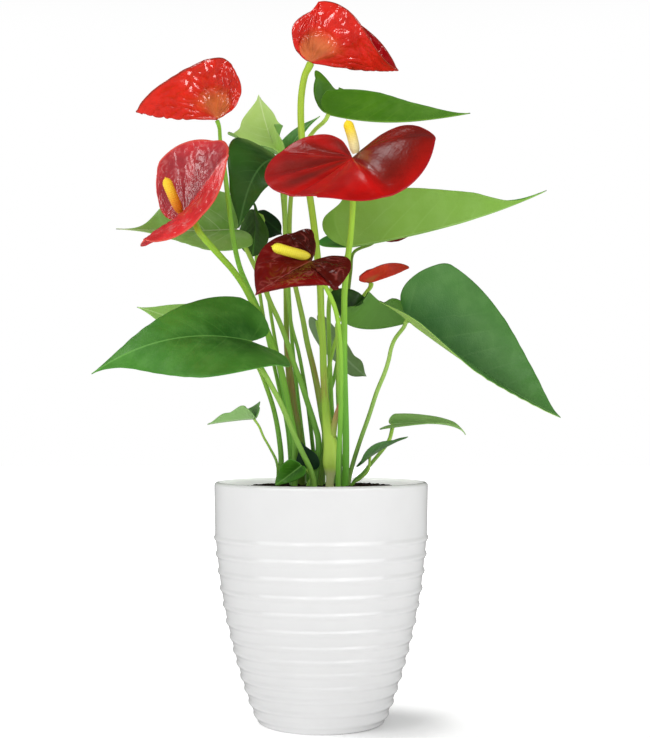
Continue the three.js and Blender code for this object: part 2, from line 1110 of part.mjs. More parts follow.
// The blade's half outline with its own fullness, tip and lobe length on each side
function outlineOf(blade, side, steps) {
  const shape = blade.shape === "spathe" ? SPATHE : LEAF;
  return smoothPoints(vectors(shape), steps).map((p) => {
    const full = 1 + blade.full[side] * Math.sin(Math.PI * Math.max(p.x, 0));
    const slim = 1 - blade.slim * THREE.MathUtils.smoothstep(p.x, TIP_FROM, TIP_TO);
    const back = p.x < 0 ? blade.back[side] : 1;
    return [p.x * back, p.y * full * slim];
  });
}

// A blade as a closed sheet: both faces carry the same triangles, and a wall runs round its edge
function bladeGeometry(blade, thickness) {
  const { rows, steps } = blade;
  const length = midribLength(blade);
  const points = [];
  const index = new Map();
  const at = (side, i, j) => {
    const key = i === 0 ? "joint" : j === 0 ? "rib" + i : [side, i, j].join();
    if (!index.has(key)) {
      const [u, v] = blade.outline[side][j];
      index.set(key, points.length);
      points.push(bladePoint(blade, length, side, (u * i) / rows, (v * i) / rows));
    }
    return index.get(key);
  };
  const faces = [];
  const edge = [];
  for (const side of [0, 1]) {
    const add = (a, b, c) => faces.push(side === 0 ? [a, b, c] : [a, c, b]);
    for (let j = 0; j < steps; j++) {
      add(at(side, 0, j), at(side, 1, j), at(side, 1, j + 1));
      for (let i = 1; i < rows; i++) {
        add(at(side, i, j), at(side, i + 1, j), at(side, i + 1, j + 1));
        add(at(side, i, j), at(side, i + 1, j + 1), at(side, i, j + 1));
      }
    }
  }
  for (let j = 0; j < steps; j++) {
    edge.push(at(0, rows, j));
  }
  for (let i = rows; i > 0; i--) {
    edge.push(at(0, i, steps));
  }
  edge.push(at(0, 0, 0));
  for (let i = 1; i <= rows; i++) {
    edge.push(at(1, i, steps));
  }
  for (let j = steps - 1; j > 0; j--) {
    edge.push(at(1, rows, j));
  }
  return sheet(points, faces, edge, thickness);
}

// Thickens a surface by half its thickness to each side and closes it along its edge
function sheet(points, faces, edge, thickness) {
  const normals = points.map(() => new THREE.Vector3());
  for (const [a, b, c] of faces) {
    const ab = points[b].clone().sub(points[a]);
    const ac = points[c].clone().sub(points[a]);
    const normal = ab.cross(ac);
    for (const k of [a, b, c]) {
      normals[k].add(normal);
    }
  }
  const half = thickness / 2;
  const position = [];
  for (const sign of [1, -1]) {
    points.forEach((p, k) => {
      const q = p.clone().addScaledVector(normals[k].clone().normalize(), sign * half);
      position.push(q.x, q.y, q.z);
    });
  }
  const n = points.length;
  const triangles = [];
  for (const [a, b, c] of faces) {
    triangles.push(a, b, c, n + a, n + c, n + b);
  }
  edge.forEach((a, k) => {
    const b = edge[(k + 1) % edge.length];
    triangles.push(a, n + a, n + b, a, n + b, b);
  });
  return closedGeometry(position, triangles);
}

function closedGeometry(position, triangles) {
  const geometry = new THREE.BufferGeometry();
  geometry.setAttribute("position", new THREE.Float32BufferAttribute(position, 3));
  geometry.setIndex(triangles);
  return geometry;
}

// A tapered round stem along a smooth curve, closed at both ends; extra widens it, for the hole it stands in
function stemGeometry(stem, extra = 0) {
  const { sides, rings } = stem;
  const centres = smoothPoints(vectors(stem.path), rings);
  const position = [];
  const triangles = [];
  const radiusAt = (k) => {
    const where = (k / rings) * (stem.radii.length - 1);
    const low = Math.min(Math.floor(where), stem.radii.length - 2);
    return stem.radii[low] + (stem.radii[low + 1] - stem.radii[low]) * (where - low) + extra;
  };
  centres.forEach((centre, k) => {
    const next = centres[Math.min(k + 1, rings)];
    const last = centres[Math.max(k - 1, 0)];
    const run = next.clone().sub(last).normalize();
    const side = new THREE.Vector3().crossVectors(new THREE.Vector3(0, 1, 0), run).normalize();
    const other = new THREE.Vector3().crossVectors(run, side);
    for (let s = 0; s < sides; s++) {
      const angle = (2 * Math.PI * s) / sides;
      const p = centre.clone();
      p.addScaledVector(side, radiusAt(k) * Math.cos(angle));
      p.addScaledVector(other, radiusAt(k) * Math.sin(angle));
      position.push(p.x, p.y, p.z);
    }
  });
  for (let k = 0; k < rings; k++) {
    for (let s = 0; s < sides; s++) {
      const a = k * sides + s;
      const b = k * sides + ((s + 1) % sides);
      triangles.push(a, b, b + sides, a, b + sides, a + sides);
    }
  }
  for (let s = 1; s < sides - 1; s++) {
    const top = rings * sides;
    triangles.push(0, s + 1, s, top, top + s, top + s + 1);
  }
  return closedGeometry(position, triangles);
}

// A turned body from its profile of [radius, height] points
function turned(profile, sides) {
  const outline = profile.map(([r, z]) => new THREE.Vector2(r, z));
  const geometry = new THREE.LatheGeometry(outline, sides);
  geometry.rotateX(Math.PI / 2);
  return geometry;
}

// Solids for joining and cutting
function solid(geometry, near = 1e-4) {
  const plain = geometry.clone();
  plain.deleteAttribute("normal");
  plain.deleteAttribute("uv");
  const merged = mergeVertices(plain, near);
  const made = new wasm.Manifold(
    new wasm.Mesh({
      numProp: 3,
      vertProperties: new Float32Array(merged.attributes.position.array),
      triVerts: new Uint32Array(merged.index.array),
    }),
  );
  return made;
}

function meshOf(body) {
  const mesh = body.getMesh();
  return closedGeometry(Array.from(mesh.vertProperties), Array.from(mesh.triVerts));
}

// The geometry of a joined or cut body: vertices that all but touch become one, and loose slivers go
function fromSolid(body) {
  const whole = solid(meshOf(largest(body)), 1e-3);
  return meshOf(largest(whole));
}

function largest(body) {
  const parts = body.decompose();
  parts.sort((a, b) => b.volume() - a.volume());
  return parts[0];
}

// Radius of the pot's outside at a height: the smooth body with its raised rings
function potRadius(z) {
  let i = 0;
  while (i < POT_BODY.length - 2 && POT_BODY[i + 1][0] < z) {
    i += 1;
  }
  const [z0, r0] = POT_BODY[i];
  const [z1, r1] = POT_BODY[i + 1];
  return r0 + ((r1 - r0) * (z - z0)) / (z1 - z0);
}

// Outside from the foot up, over the rounded lip, and down the inside to the floor
function potProfile() {
  const outside = [
    [0, 0],
    [potRadius(0) - 0.8, 0],
    [potRadius(0.8), 0.8],
  ];
  for (const z of [...RINGS].reverse()) {
    outside.push([potRadius(z - RING_HALF), z - RING_HALF]);
    outside.push([potRadius(z) + RING_PROUD, z]);
    outside.push([potRadius(z + RING_HALF), z + RING_HALF]);
  }
  const lip = POT_HEIGHT;
  const rim = POT_RIM_RADIUS;
  const inside = [
    [rim, lip - 2],
    [rim - 0.9, lip - 0.5],
    [rim - 2.2, lip],
    [rim - POT_WALL + 1.2, lip - 0.6],
    [rim - POT_WALL, lip - 2.4],
    [potRadius(112) - POT_WALL, 112],
    [potRadius(60) - POT_WALL, 60],
    [potRadius(POT_FLOOR) - POT_WALL, POT_FLOOR],
    [0, POT_FLOOR],
  ];
  return [...outside, ...inside];
}

// The soil fills the pot from its floor to a little under the lip
function soilProfile() {
  const inner = (z) => potRadius(z) - POT_WALL - SOIL_GAP;
  return [
    [0, POT_FLOOR + SOIL_GAP],
    [inner(POT_FLOOR) - 0.3, POT_FLOOR + SOIL_GAP],
    [inner(60) - 0.2, 60],
    [inner(112) - 0.2, 112],
    [inner(SOIL_TOP) - 0.2, SOIL_TOP],
    [0, SOIL_TOP],
  ];
}

// Turns the listed numbers of a blade into vectors and its two half outlines
function prepared(row) {
  const blade = { ...row };
  blade.joint = new THREE.Vector3(...row.joint);
  blade.middle = new THREE.Vector3(...row.middle);
  blade.tip = new THREE.Vector3(...row.tip);
  blade.face = new THREE.Vector3(...row.face).normalize();
  blade.outline = [outlineOf(blade, 0, row.steps), outlineOf(blade, 1, row.steps)];
  return blade;
}

// The same blade a little thicker, to cut what meets it back to a small gap
function clearance(blade) {
  return solid(bladeGeometry(blade, BLADE_THICKNESS + 2 * JOINT_GAP));
}

const plant = new THREE.Group();

function place(name, geometry, look) {
  const mesh = new THREE.Mesh(geometry, new THREE.MeshStandardMaterial(look));
  mesh.name = name;
  plant.add(mesh);
}

// The plain hole that a stem stands in: a little wider and a little deeper than the stem
function holeFor(stem) {
  const [foot, ...rest] = stem.path;
  const [x, y, z] = foot;
  return solid(stemGeometry({ ...stem, path: [[x, y, z - HOLE_GAP], ...rest] }, HOLE_GAP));
}

const holes = [];

// A bloom: the spathe, its flower stem cut back to the spathe's underside, and its spadix cut back to the face
function addBloom(name) {
  const blade = prepared(SPATHES[name]);
  const cutter = clearance(blade);
  const dark = DARK_SPATHES.includes(name);
  place("spathe_" + name, bladeGeometry(blade, BLADE_THICKNESS), dark ? SPATHE_DARK : SPATHE_RED);
  const row = FLOWER_STEMS[name];
  const stem = { sides: row.sides ?? 7, ...row };
  let body = solid(stemGeometry(stem));
  if (name === "top") {
    body = body.add(solid(crownGeometry()));
    body = body.add(solid(stemGeometry(SHEATH)));
  }
  place("stem_" + name, fromSolid(body.subtract(cutter)), STEM_GREEN);
  holes.push(holeFor(stem));
  const spike = SPADICES[name];
  if (spike) {
    const spadix = solid(stemGeometry({ sides: 8, rings: 8, ...spike }));
    place("spadix_" + name, fromSolid(spadix.subtract(cutter)), SPADIX_YELLOW);
  }
}

// A leaf: the blade grown together with its own stem
function addLeaf(name) {
  const blade = prepared(LEAVES[name]);
  const row = LEAF_STEMS[name];
  const stem = { sides: 6, ...row };
  const body = solid(bladeGeometry(blade, BLADE_THICKNESS)).add(solid(stemGeometry(stem)));
  place("leaf_" + name, fromSolid(body), PALE_LEAVES.includes(name) ? LEAF_PALE : LEAF_GREEN);
  holes.push(holeFor(stem));
}

// The swelling of the crown, a turned body
function crownGeometry() {
  const body = turned(CROWN.profile, 10);
  body.translate(...CROWN.foot);
  return body;
}

for (const name of Object.keys(SPATHES)) {
  addBloom(name);
}
for (const name of Object.keys(LEAVES)) {
  addLeaf(name);
}

place("pot", turned(potProfile(), POT_SIDES), GLAZE);
let soil = solid(turned(soilProfile(), POT_SIDES));
for (const hole of holes) {
  soil = soil.subtract(hole);
}
place("soil", fromSolid(soil), SOIL);

export default plant;
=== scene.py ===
"""Looks of a potted anthurium in a ribbed white pot.

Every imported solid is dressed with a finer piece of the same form: blades with veins and a soft relief, tapered
stems, beaded spadices, a turned pot with raised rings, and soil with crumbs. Lengths in the tables are
millimetres, and every mesh is written in metres. -Y is the side that the photograph shows.
"""

import json
import math
from collections import namedtuple

import bpy
import numpy as np
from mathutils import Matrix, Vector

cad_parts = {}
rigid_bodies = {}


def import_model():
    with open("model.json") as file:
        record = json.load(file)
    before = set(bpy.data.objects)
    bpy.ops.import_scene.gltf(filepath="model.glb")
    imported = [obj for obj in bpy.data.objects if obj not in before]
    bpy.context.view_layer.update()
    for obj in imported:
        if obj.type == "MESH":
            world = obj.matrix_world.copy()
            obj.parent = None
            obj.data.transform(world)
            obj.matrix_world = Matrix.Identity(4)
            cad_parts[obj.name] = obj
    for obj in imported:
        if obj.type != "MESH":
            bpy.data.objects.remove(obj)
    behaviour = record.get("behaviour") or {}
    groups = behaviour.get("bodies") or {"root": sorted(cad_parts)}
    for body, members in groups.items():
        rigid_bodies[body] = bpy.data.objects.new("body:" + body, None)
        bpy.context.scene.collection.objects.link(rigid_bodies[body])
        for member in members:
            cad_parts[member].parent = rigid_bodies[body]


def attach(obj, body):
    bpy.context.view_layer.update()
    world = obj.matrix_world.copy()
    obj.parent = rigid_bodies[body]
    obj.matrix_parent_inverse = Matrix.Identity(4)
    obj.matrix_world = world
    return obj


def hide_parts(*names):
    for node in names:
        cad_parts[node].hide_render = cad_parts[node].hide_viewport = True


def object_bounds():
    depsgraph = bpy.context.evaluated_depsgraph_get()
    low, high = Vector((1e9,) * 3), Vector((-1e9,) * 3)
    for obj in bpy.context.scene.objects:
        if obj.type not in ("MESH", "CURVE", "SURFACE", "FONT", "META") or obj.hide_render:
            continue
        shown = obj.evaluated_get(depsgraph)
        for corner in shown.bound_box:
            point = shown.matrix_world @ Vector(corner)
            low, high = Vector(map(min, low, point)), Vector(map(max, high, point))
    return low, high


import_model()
cad_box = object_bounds()

MM = 0.001

# The pot, as turned: radii of its body by height, the heights of its raised rings, and its lip
POT_HEIGHT = 142.3
POT_RIM_RADIUS = 63.8
POT_WALL = 5.0
POT_FLOOR = 6.0
POT_BODY = [
    (0, 37.2), (12, 42.2), (28, 47.4), (43, 51.6), (60, 55.8), (80, 59.6), (100, 62), (112, 63.2),
    (POT_HEIGHT, POT_RIM_RADIUS),
]
RINGS = [109.3, 99.6, 89.6, 79.3, 69.7, 59.7, 50.5, 42.7, 35.2, 27.2, 19.8, 12, 4.9]
RING_PROUD = 1.0
RING_HALF = 2.6
LIP_OUTSIDE = 2.2
LIP_INSIDE = 2.4
FOOT_EDGE = 0.8
PROFILE_STEP = 0.55
POT_SIDES = 160

# The soil: its level, its heap at the middle and the shares of the way to the wall where the heap slopes, the
# height of its lumps, its gap to the pot's wall, its cut, and its loose crumbs
SOIL_TOP = 138.0
SOIL_HEAP = 1.7
SOIL_SLOPE = (0.55, 1.0)
SOIL_LUMP = 1.2
SOIL_SEED = 11
SOIL_GAP = 0.4
SOIL_DEPTH = 10
SOIL_RINGS = 34
SOIL_SIDES = 96
CRUMBS = 900
CRUMB_SIZES = (0.5, 1.5)
CRUMB_GRID = (4, 6)
CRUMB_SPREAD = 0.97
CRUMB_LEVEL = 1.5

# Half the width of the square floor
FLOOR_HALF = 4000

# Half outlines of a blade: how far along the midrib and how far across it, from the tip round to the sinus
LEAF = [
    (1, 0), (0.93, 0.045), (0.8, 0.2), (0.6, 0.52), (0.35, 0.86), (0.12, 1), (-0.08, 0.95), (-0.22, 0.7),
    (-0.26, 0.42), (-0.21, 0.21), (-0.09, 0.075),
]
SPATHE = [
    (1, 0), (0.95, 0.06), (0.85, 0.25), (0.65, 0.58), (0.4, 0.86), (0.15, 1), (-0.1, 0.98), (-0.3, 0.78),
    (-0.38, 0.5), (-0.3, 0.26), (-0.13, 0.09),
]
# Shares of the midrib's length: the stretch where a blade's slimness narrows its tip, and how far behind the
# joint a lobe has risen to its full angle
TIP_STRETCH = (0.6, 0.9)
LOBE_RISE = 0.3

# What a blade is made of: its half outline, how many side veins leave its midrib and how far they sweep
# forward, its thickness, and how much fuller its underside is along the midrib
Tissue = namedtuple("Tissue", "outline veins sweep thickness rib")
BLOOM_TISSUE = Tissue(SPATHE, 8, 0.42, 0.8, 0.35)
LEAF_TISSUE = Tissue(LEAF, 7, 0.4, 0.7, 0.45)
RIB_HALF = 1.1
# How far a blade's edge bulges, as a share of its thickness
EDGE_BULGE = 0.35

# How a blade is cut up: steps from the midrib's joint to the rim, and steps along the rim
BLOOM_GRID = (60, 120)
SMALL_BLOOM_GRID = (20, 44)
BIG_LEAF_GRID = (28, 60)
LEAF_GRID = (16, 36)
# How stems and spikes are cut up: points round them, and steps along them
STEM_GRID = (20, 90)
CROWN_GRID = (24, 260)
SHEATH_GRID = (16, 30)
STALK_GRID = (16, 70)
SPIKE_GRID = (40, 100)
# The domed share of a spike's length, and its beads: how many lie round it, how many radians their spirals turn
# in all, and how high they are as a share of the spike's radius
SPIKE_DOME = 0.18
BEADS_ROUND = 8
BEAD_TURNS = 62
BEAD_HEIGHT = 0.07
# Where along a stem its swelling below the head begins, and how thick that is: in mm on the blooms' stems, and
# as a share of the stem's radius on the leaves'
FLOWER_SWELL = (0.97, 0.3)
LEAF_SWELL = (0.94, 0.12)
# How far leaves are puffed between their veins, the big ones and the others
BIG_LEAF_PUFF = 0.9
LEAF_PUFF = 0.5

# Blooms and leaves that differ in size or in slot
SMALL_BLOOMS = ("small", "back")
BIG_LEAVES = ("left_big", "right_big", "right_pale", "far_left", "upper_right")

# The crown's swelling as (height, radius), the heights between which its paler green fades, and the sheath
CROWN_SHAPE = [
    (126, 2.4), (146, 2.4), (148.5, 3.2), (151, 4.6), (155, 5.2), (161, 4.7), (168, 3.8), (175, 3.1),
    (184, 2.6), (196, 2.1),
]
CROWN_REACH = (140, 190)
SHEATH_PATH = [(5, -13.5, 160), (6.8, -13, 170), (8.2, -13, 179), (9.8, -12.5, 186), (11.1, -12.5, 190.5)]
SHEATH_RADII = (1.8, 2, 2.1, 1.9, 1.5, 1, 0.4)

# Blades. A blade runs from its joint, where the stem meets it, to its tip, and middle pulls the midrib to a
# curve. face is where its upper side looks. Pairs are left, right: width is the half width, cup how much it
# curls, lobe how far the basal lobe is raised, full how much broader its middle is, back how long the lobe is.
# fold is how far each half is raised, at the joint and at the tip. twist turns the tip, slim narrows it.
Blade = namedtuple(
    "Blade",
    "joint middle tip face width fold cup lobe twist full back slim",
    defaults=((0, 0), (0, 0), 0, (0, 0), (1, 1), 0),
)

# Blades of the blooms
SPATHES = {
    "upper_left": Blade(
        (-64.5, 19.5, 365), (-89.5, -8, 360), (-113, 8.5, 367.5), face=(-0.04, 0.06, 1), width=(36.5, 34.5),
        fold=(72, 62, 62, 51), cup=(0, 34), lobe=(10, 29), twist=29, full=(0, -0.02), back=(1.01, 1),
    ),
    "top": Blade(
        (-6.5, 20, 400.5), (28.5, 18, 395), (47, 7.5, 392.5), face=(-0.13, -0.09, 0.99), width=(34, 37.5),
        fold=(66, 47, 68, 36), cup=(35, 37), lobe=(25, 25), twist=-5, full=(-0.02, -0.01), back=(0.99, 1),
    ),
    "left": Blade(
        (-79, -22, 298.5), (-67, -49.5, 312), (-49.5, -87.5, 322), face=(-0.77, -0.57, 0.29),
        width=(39, 32.5), fold=(12, -67, 52, 27), cup=(32, -10), lobe=(12, 24), twist=-47,
        full=(0.01, 0.24), back=(0.91, 1.03), slim=-0.35,
    ),
    "front": Blade(
        (17.5, -60, 325.5), (0.5, -96, 300), (-1.5, -104.5, 297), face=(-0.06, -0.31, 0.95), width=(51, 46),
        fold=(27, 7, 3, -26), cup=(-32, -1), lobe=(14, 28), twist=23, back=(0.99, 0.99),
    ),
    "dark": Blade(
        (-6.5, -69.5, 266), (-16, -71.5, 261), (-34.5, -99.5, 245), face=(-0.16, -0.46, 0.87),
        width=(31, 28), fold=(2, 9, 17, 9), cup=(-30, 7), lobe=(-4, 68), twist=5,
    ),
    "small": Blade(
        (31, 29, 265), (50, 28.5, 271), (54, 21, 273.5), face=(-0.03, -0.02, 1), width=(9, 8.5),
        fold=(45, 15, 45, 82), cup=(32, 12), lobe=(36, 2), twist=14, full=(0.13, 0.03), back=(0.82, 0.67),
        slim=-0.05,
    ),
    "back": Blade(
        (35.5, 46, 294.5), (46, 46, 290), (58.5, 46, 297.5), face=(-0.1, 0.1, 0.99), width=(13, 13),
        fold=(30, 30, 40, 40), cup=(30, 30),
    ),
}

# Blades of the leaves
LEAVES = {
    "left_big": Blade(
        (-41.5, -23.5, 225), (-87, -55.5, 234), (-131, -40, 205.5), face=(0.05, -0.76, 0.64),
        width=(35.5, 33), fold=(22, -12, 12, -10), cup=(2, -10), lobe=(-14, 9), twist=6, full=(0.26, -0.14),
        back=(0.69, 0.6),
    ),
    "left_tip": Blade(
        (-65, 18, 229.5), (-90, 18, 241.5), (-112.5, 14, 248), face=(0, -0.75, 0.66), width=(19, 19),
        fold=(10, 10, 10, 10),
    ),
    "right_big": Blade(
        (51.5, -12.5, 238), (110, 4, 196), (141, -15, 181), face=(0.36, -0.58, 0.73), width=(42, 32),
        fold=(84, 44, 41, 12), cup=(-42, -17), lobe=(17, -29), twist=11, full=(0.01, 0.08),
        back=(0.64, 0.74), slim=-0.2,
    ),
    "right_shaded": Blade(
        (12.5, 6, 240.5), (23.5, 7, 228), (65, 10.5, 242), face=(0.12, -0.32, 0.94), width=(21, 29.5),
        fold=(36, 14, 64, 80), cup=(23, -24), lobe=(-31, 60), twist=12, full=(-0.21, 0.17),
        back=(0.95, 0.44), slim=-2.05,
    ),
    "right_pale": Blade(
        (17.5, 10, 284.5), (85.5, -24.5, 291.5), (133, -17, 314.5), face=(0.48, -0.23, 0.85),
        width=(35.5, 32), fold=(29, 37, 78, 79), cup=(7, 7), lobe=(6, 72), twist=-10, full=(-0.18, -0.04),
        back=(0.85, 0.87), slim=0.7,
    ),
    "upper_right": Blade(
        (5, 21.5, 368.5), (43, 16.5, 358), (91, 10, 366.5), face=(-0.06, -0.15, 0.99), width=(20.5, 22.5),
        fold=(55, 35, 33, 76), cup=(5, 7), lobe=(98, 15), twist=14, full=(-0.15, 0.05), back=(1.47, 0.24),
        slim=-0.3,
    ),
    "narrow": Blade(
        (-20.5, 60, 353.5), (-14, 61, 367), (-1, 60, 375.5), face=(-0.51, -0.61, 0.61), width=(9, 9),
        fold=(20, 10, 20, 10),
    ),
    "upright_pale": Blade(
        (-25.5, 49.5, 348.5), (-34, 66, 358), (-41, 63.5, 390.5), face=(-0.28, 0.96, 0), width=(21.5, 39),
        fold=(-95, -30, -29, 5), cup=(2, -21), lobe=(-42, -63), twist=-8, full=(-0.2, 0.07),
        back=(0.98, 1.36), slim=-0.75,
    ),
    "upper_dark": Blade(
        (-27.5, 19.5, 340), (-42, -16, 334), (-50, 6.5, 295), face=(0.11, -0.53, 0.84), width=(17, 26.5),
        fold=(-18, -17, 18, 18), cup=(44, -9), lobe=(-16, -18), twist=15, full=(0.06, 0), back=(0.6, 0.6),
        slim=-0.55,
    ),
    "mid_olive": Blade(
        (-40, 32.5, 307.5), (-42, 30, 285), (-43, 30.5, 281), face=(-0.85, -0.38, 0.37), width=(15.5, 16),
        fold=(42, -31, 21, 24), cup=(-30, -22), lobe=(36, 3), twist=20, full=(0.27, 0.27), back=(1.22, 0.6),
        slim=-0.7,
    ),
    "mid_dark": Blade(
        (-39.5, 59, 310.5), (-28, 59, 301), (-25.5, 58.5, 298.5), face=(0.46, -0.84, 0.28),
        width=(8.5, 15.5), fold=(-20, -11, 15, -15), cup=(-2, 27), lobe=(-32, -16), twist=-12,
        full=(0.2, 0.21), back=(0.85, 0.92), slim=0.4,
    ),
    "far_left": Blade(
        (-53.5, 29, 297.5), (-85, 10, 293), (-122.5, -6.5, 293), face=(0.21, -0.3, 0.93), width=(20, 26.5),
        fold=(-1, 10, 55, 42), cup=(-33, -17), lobe=(-13, 15), twist=11, full=(0.23, 0.24),
        back=(0.28, 0.44), slim=0.65,
    ),
    "low_grey": Blade(
        (-2, 53, 241.5), (13, 48.5, 217.5), (28.5, 44.5, 206.5), face=(-0.32, 0.77, 0.55), width=(14, 11.5),
        fold=(61, 6, 55, 17), cup=(-3, 6), lobe=(-18, 6), twist=10, full=(-0.18, -0.04), back=(0.47, 0.4),
        slim=-1.9,
    ),
    "low_left": Blade(
        (-39.5, -12.5, 180), (-45.5, 0.5, 180.5), (-68, -0.5, 176.5), face=(0.04, 0.17, 0.98),
        width=(8, 10.5), fold=(36, 58, 75, 56), cup=(10, 2), lobe=(-6, 79), twist=-17, full=(0.21, -0.24),
        back=(0.55, 1.08), slim=-1.6,
    ),
    "low_right": Blade(
        (44, 18.5, 176), (81.5, 2, 180.5), (86, -5.5, 170.5), face=(0.03, -0.1, 0.99), width=(9, 6.5),
        fold=(38, 12, 4, 13), cup=(10, -31), lobe=(-29, -36), twist=8, full=(-0.16, -0.02),
        back=(0.24, 0.61), slim=0.6,
    ),
    "low_right_dark": Blade(
        (29, -4.5, 157.5), (41.5, 1.5, 166), (51.5, -8, 169), face=(-0.31, -0.46, 0.83), width=(4, 11.5),
        fold=(-8, 21, 32, 26), cup=(-20, 44), lobe=(-17, -29), twist=-1, full=(-0.06, 0.03),
        back=(1.41, 1.03), slim=-0.25,
    ),
    "base_front": Blade(
        (-12, -33.5, 152.5), (-23.5, -24, 143.5), (-25.5, -33, 142), face=(-0.16, -0.89, 0.43),
        width=(6.5, 8), fold=(-18, 35, 63, 3), cup=(34, -10), lobe=(29, 25), twist=33, full=(-0.25, -0.01),
        back=(0.59, 0.4), slim=-0.4,
    ),
    "base_dark": Blade(
        (-7.5, -13, 153), (-9, -14, 158.5), (-12, -13, 166.5), face=(-0.21, -0.93, 0.31), width=(7, 7),
        fold=(8, 8, 8, 8),
    ),
}

# Stems, by the head that they carry: where they stand in the soil, the radii along them, and the points that
# they pass through above it. Between the two heights every stem is upright.
Stem = namedtuple("Stem", "foot radii path")
STEM_UPRIGHT = (126, 140)

# Stems of the blooms
FLOWER_STEMS = {
    "upper_left": Stem(
        (-17, 2), (1.9, 1.9, 1.8, 1.7, 1.6, 1.6, 1.5, 1.5, 1.2, 1.1),
        [(-17.5, 1, 167), (-20.5, 2, 185), (-23, 4, 200), (-26, 6, 214), (-31.5, 8, 230.5), (-39, 9, 248),
         (-45.5, 7, 262), (-49.5, 1, 272.5), (-52.5, -7, 287.5), (-55, -10, 307), (-58, -4, 329),
         (-61.5, 9, 348.5), (-63, 19, 359.5), (-64.5, 19.5, 364)],
    ),
    "top": Stem(
        (5, -14), (2.2, 2.6, 2.1, 1.9, 1.8, 1.7, 1.6, 1.5, 1.4, 1.4),
        [(6, -13, 160), (4, -11, 174.5), (2.5, -9, 189.5), (1.5, -7, 206), (1, -5, 224), (0, -4, 242),
         (-0.5, -2, 258), (-2.5, 1, 280), (-5, 5, 301.5), (-8, 8, 322), (-11, 13, 343), (-12.5, 17, 360.5),
         (-12.5, 20, 378), (-10.5, 21, 391.5), (-8, 20.5, 397), (-6.5, 20, 400)],
    ),
    "left": Stem(
        (-16, -7), (2, 1.9, 1.8, 1.8, 1.8, 1.8, 1.9, 1.9),
        [(-15.5, -6, 165.5), (-18, -5, 180), (-21, -3, 195.5), (-24.5, -1, 211), (-29.5, 1, 224.5),
         (-35.5, 1, 238), (-41.5, -1, 250), (-46.5, -5, 259.5), (-52.5, -12, 268), (-58.5, -18, 274.5),
         (-65.5, -24, 282), (-71, -27, 288.5), (-74.5, -21.5, 295.5), (-78.5, -22, 298.5)],
    ),
    "front": Stem(
        (14, -12), (2.3, 2, 1.9, 1.8, 1.8, 1.7, 1.7),
        [(14.5, -14, 152.5), (14.5, -17, 170.5), (14, -22, 191), (13.5, -27, 211), (13.5, -32, 231),
         (13.5, -37, 251), (15, -43, 269), (17, -48, 285.5), (18, -54, 303), (18, -57, 320.5),
         (17.5, -59.5, 325)],
    ),
    "dark": Stem(
        (10, -22), (1.7, 1.5, 1.4, 1.3, 1.3, 1.3),
        [(10, -24, 153), (11, -29, 173.5), (11.5, -34, 193.5), (11.5, -39, 213.5), (10.5, -43, 229),
         (8.5, -47, 240.5), (5.5, -51, 248.5), (1, -56, 256.5), (-4, -65.5, 262.5), (-6, -69, 265.5)],
    ),
    "small": Stem(
        (1, 9), (1.4, 1.3, 1.2, 1.2, 1.3),
        [(3, 12, 176), (3, 14, 197), (6, 18.5, 217), (11.5, 24, 234.5), (20.5, 28, 248.5),
         (27.5, 26, 257.5), (30.5, 28.5, 261.5), (31, 29, 264)],
    ),
    "back": Stem(
        (8, 21), (1.4, 1.2, 1.1, 1, 1),
        [(4, 25, 185), (8, 29, 205), (12.5, 34, 229), (16, 37, 251), (18.5, 40, 272), (20.5, 43, 285),
         (31.5, 45, 290.5), (35, 46, 294)],
    ),
}

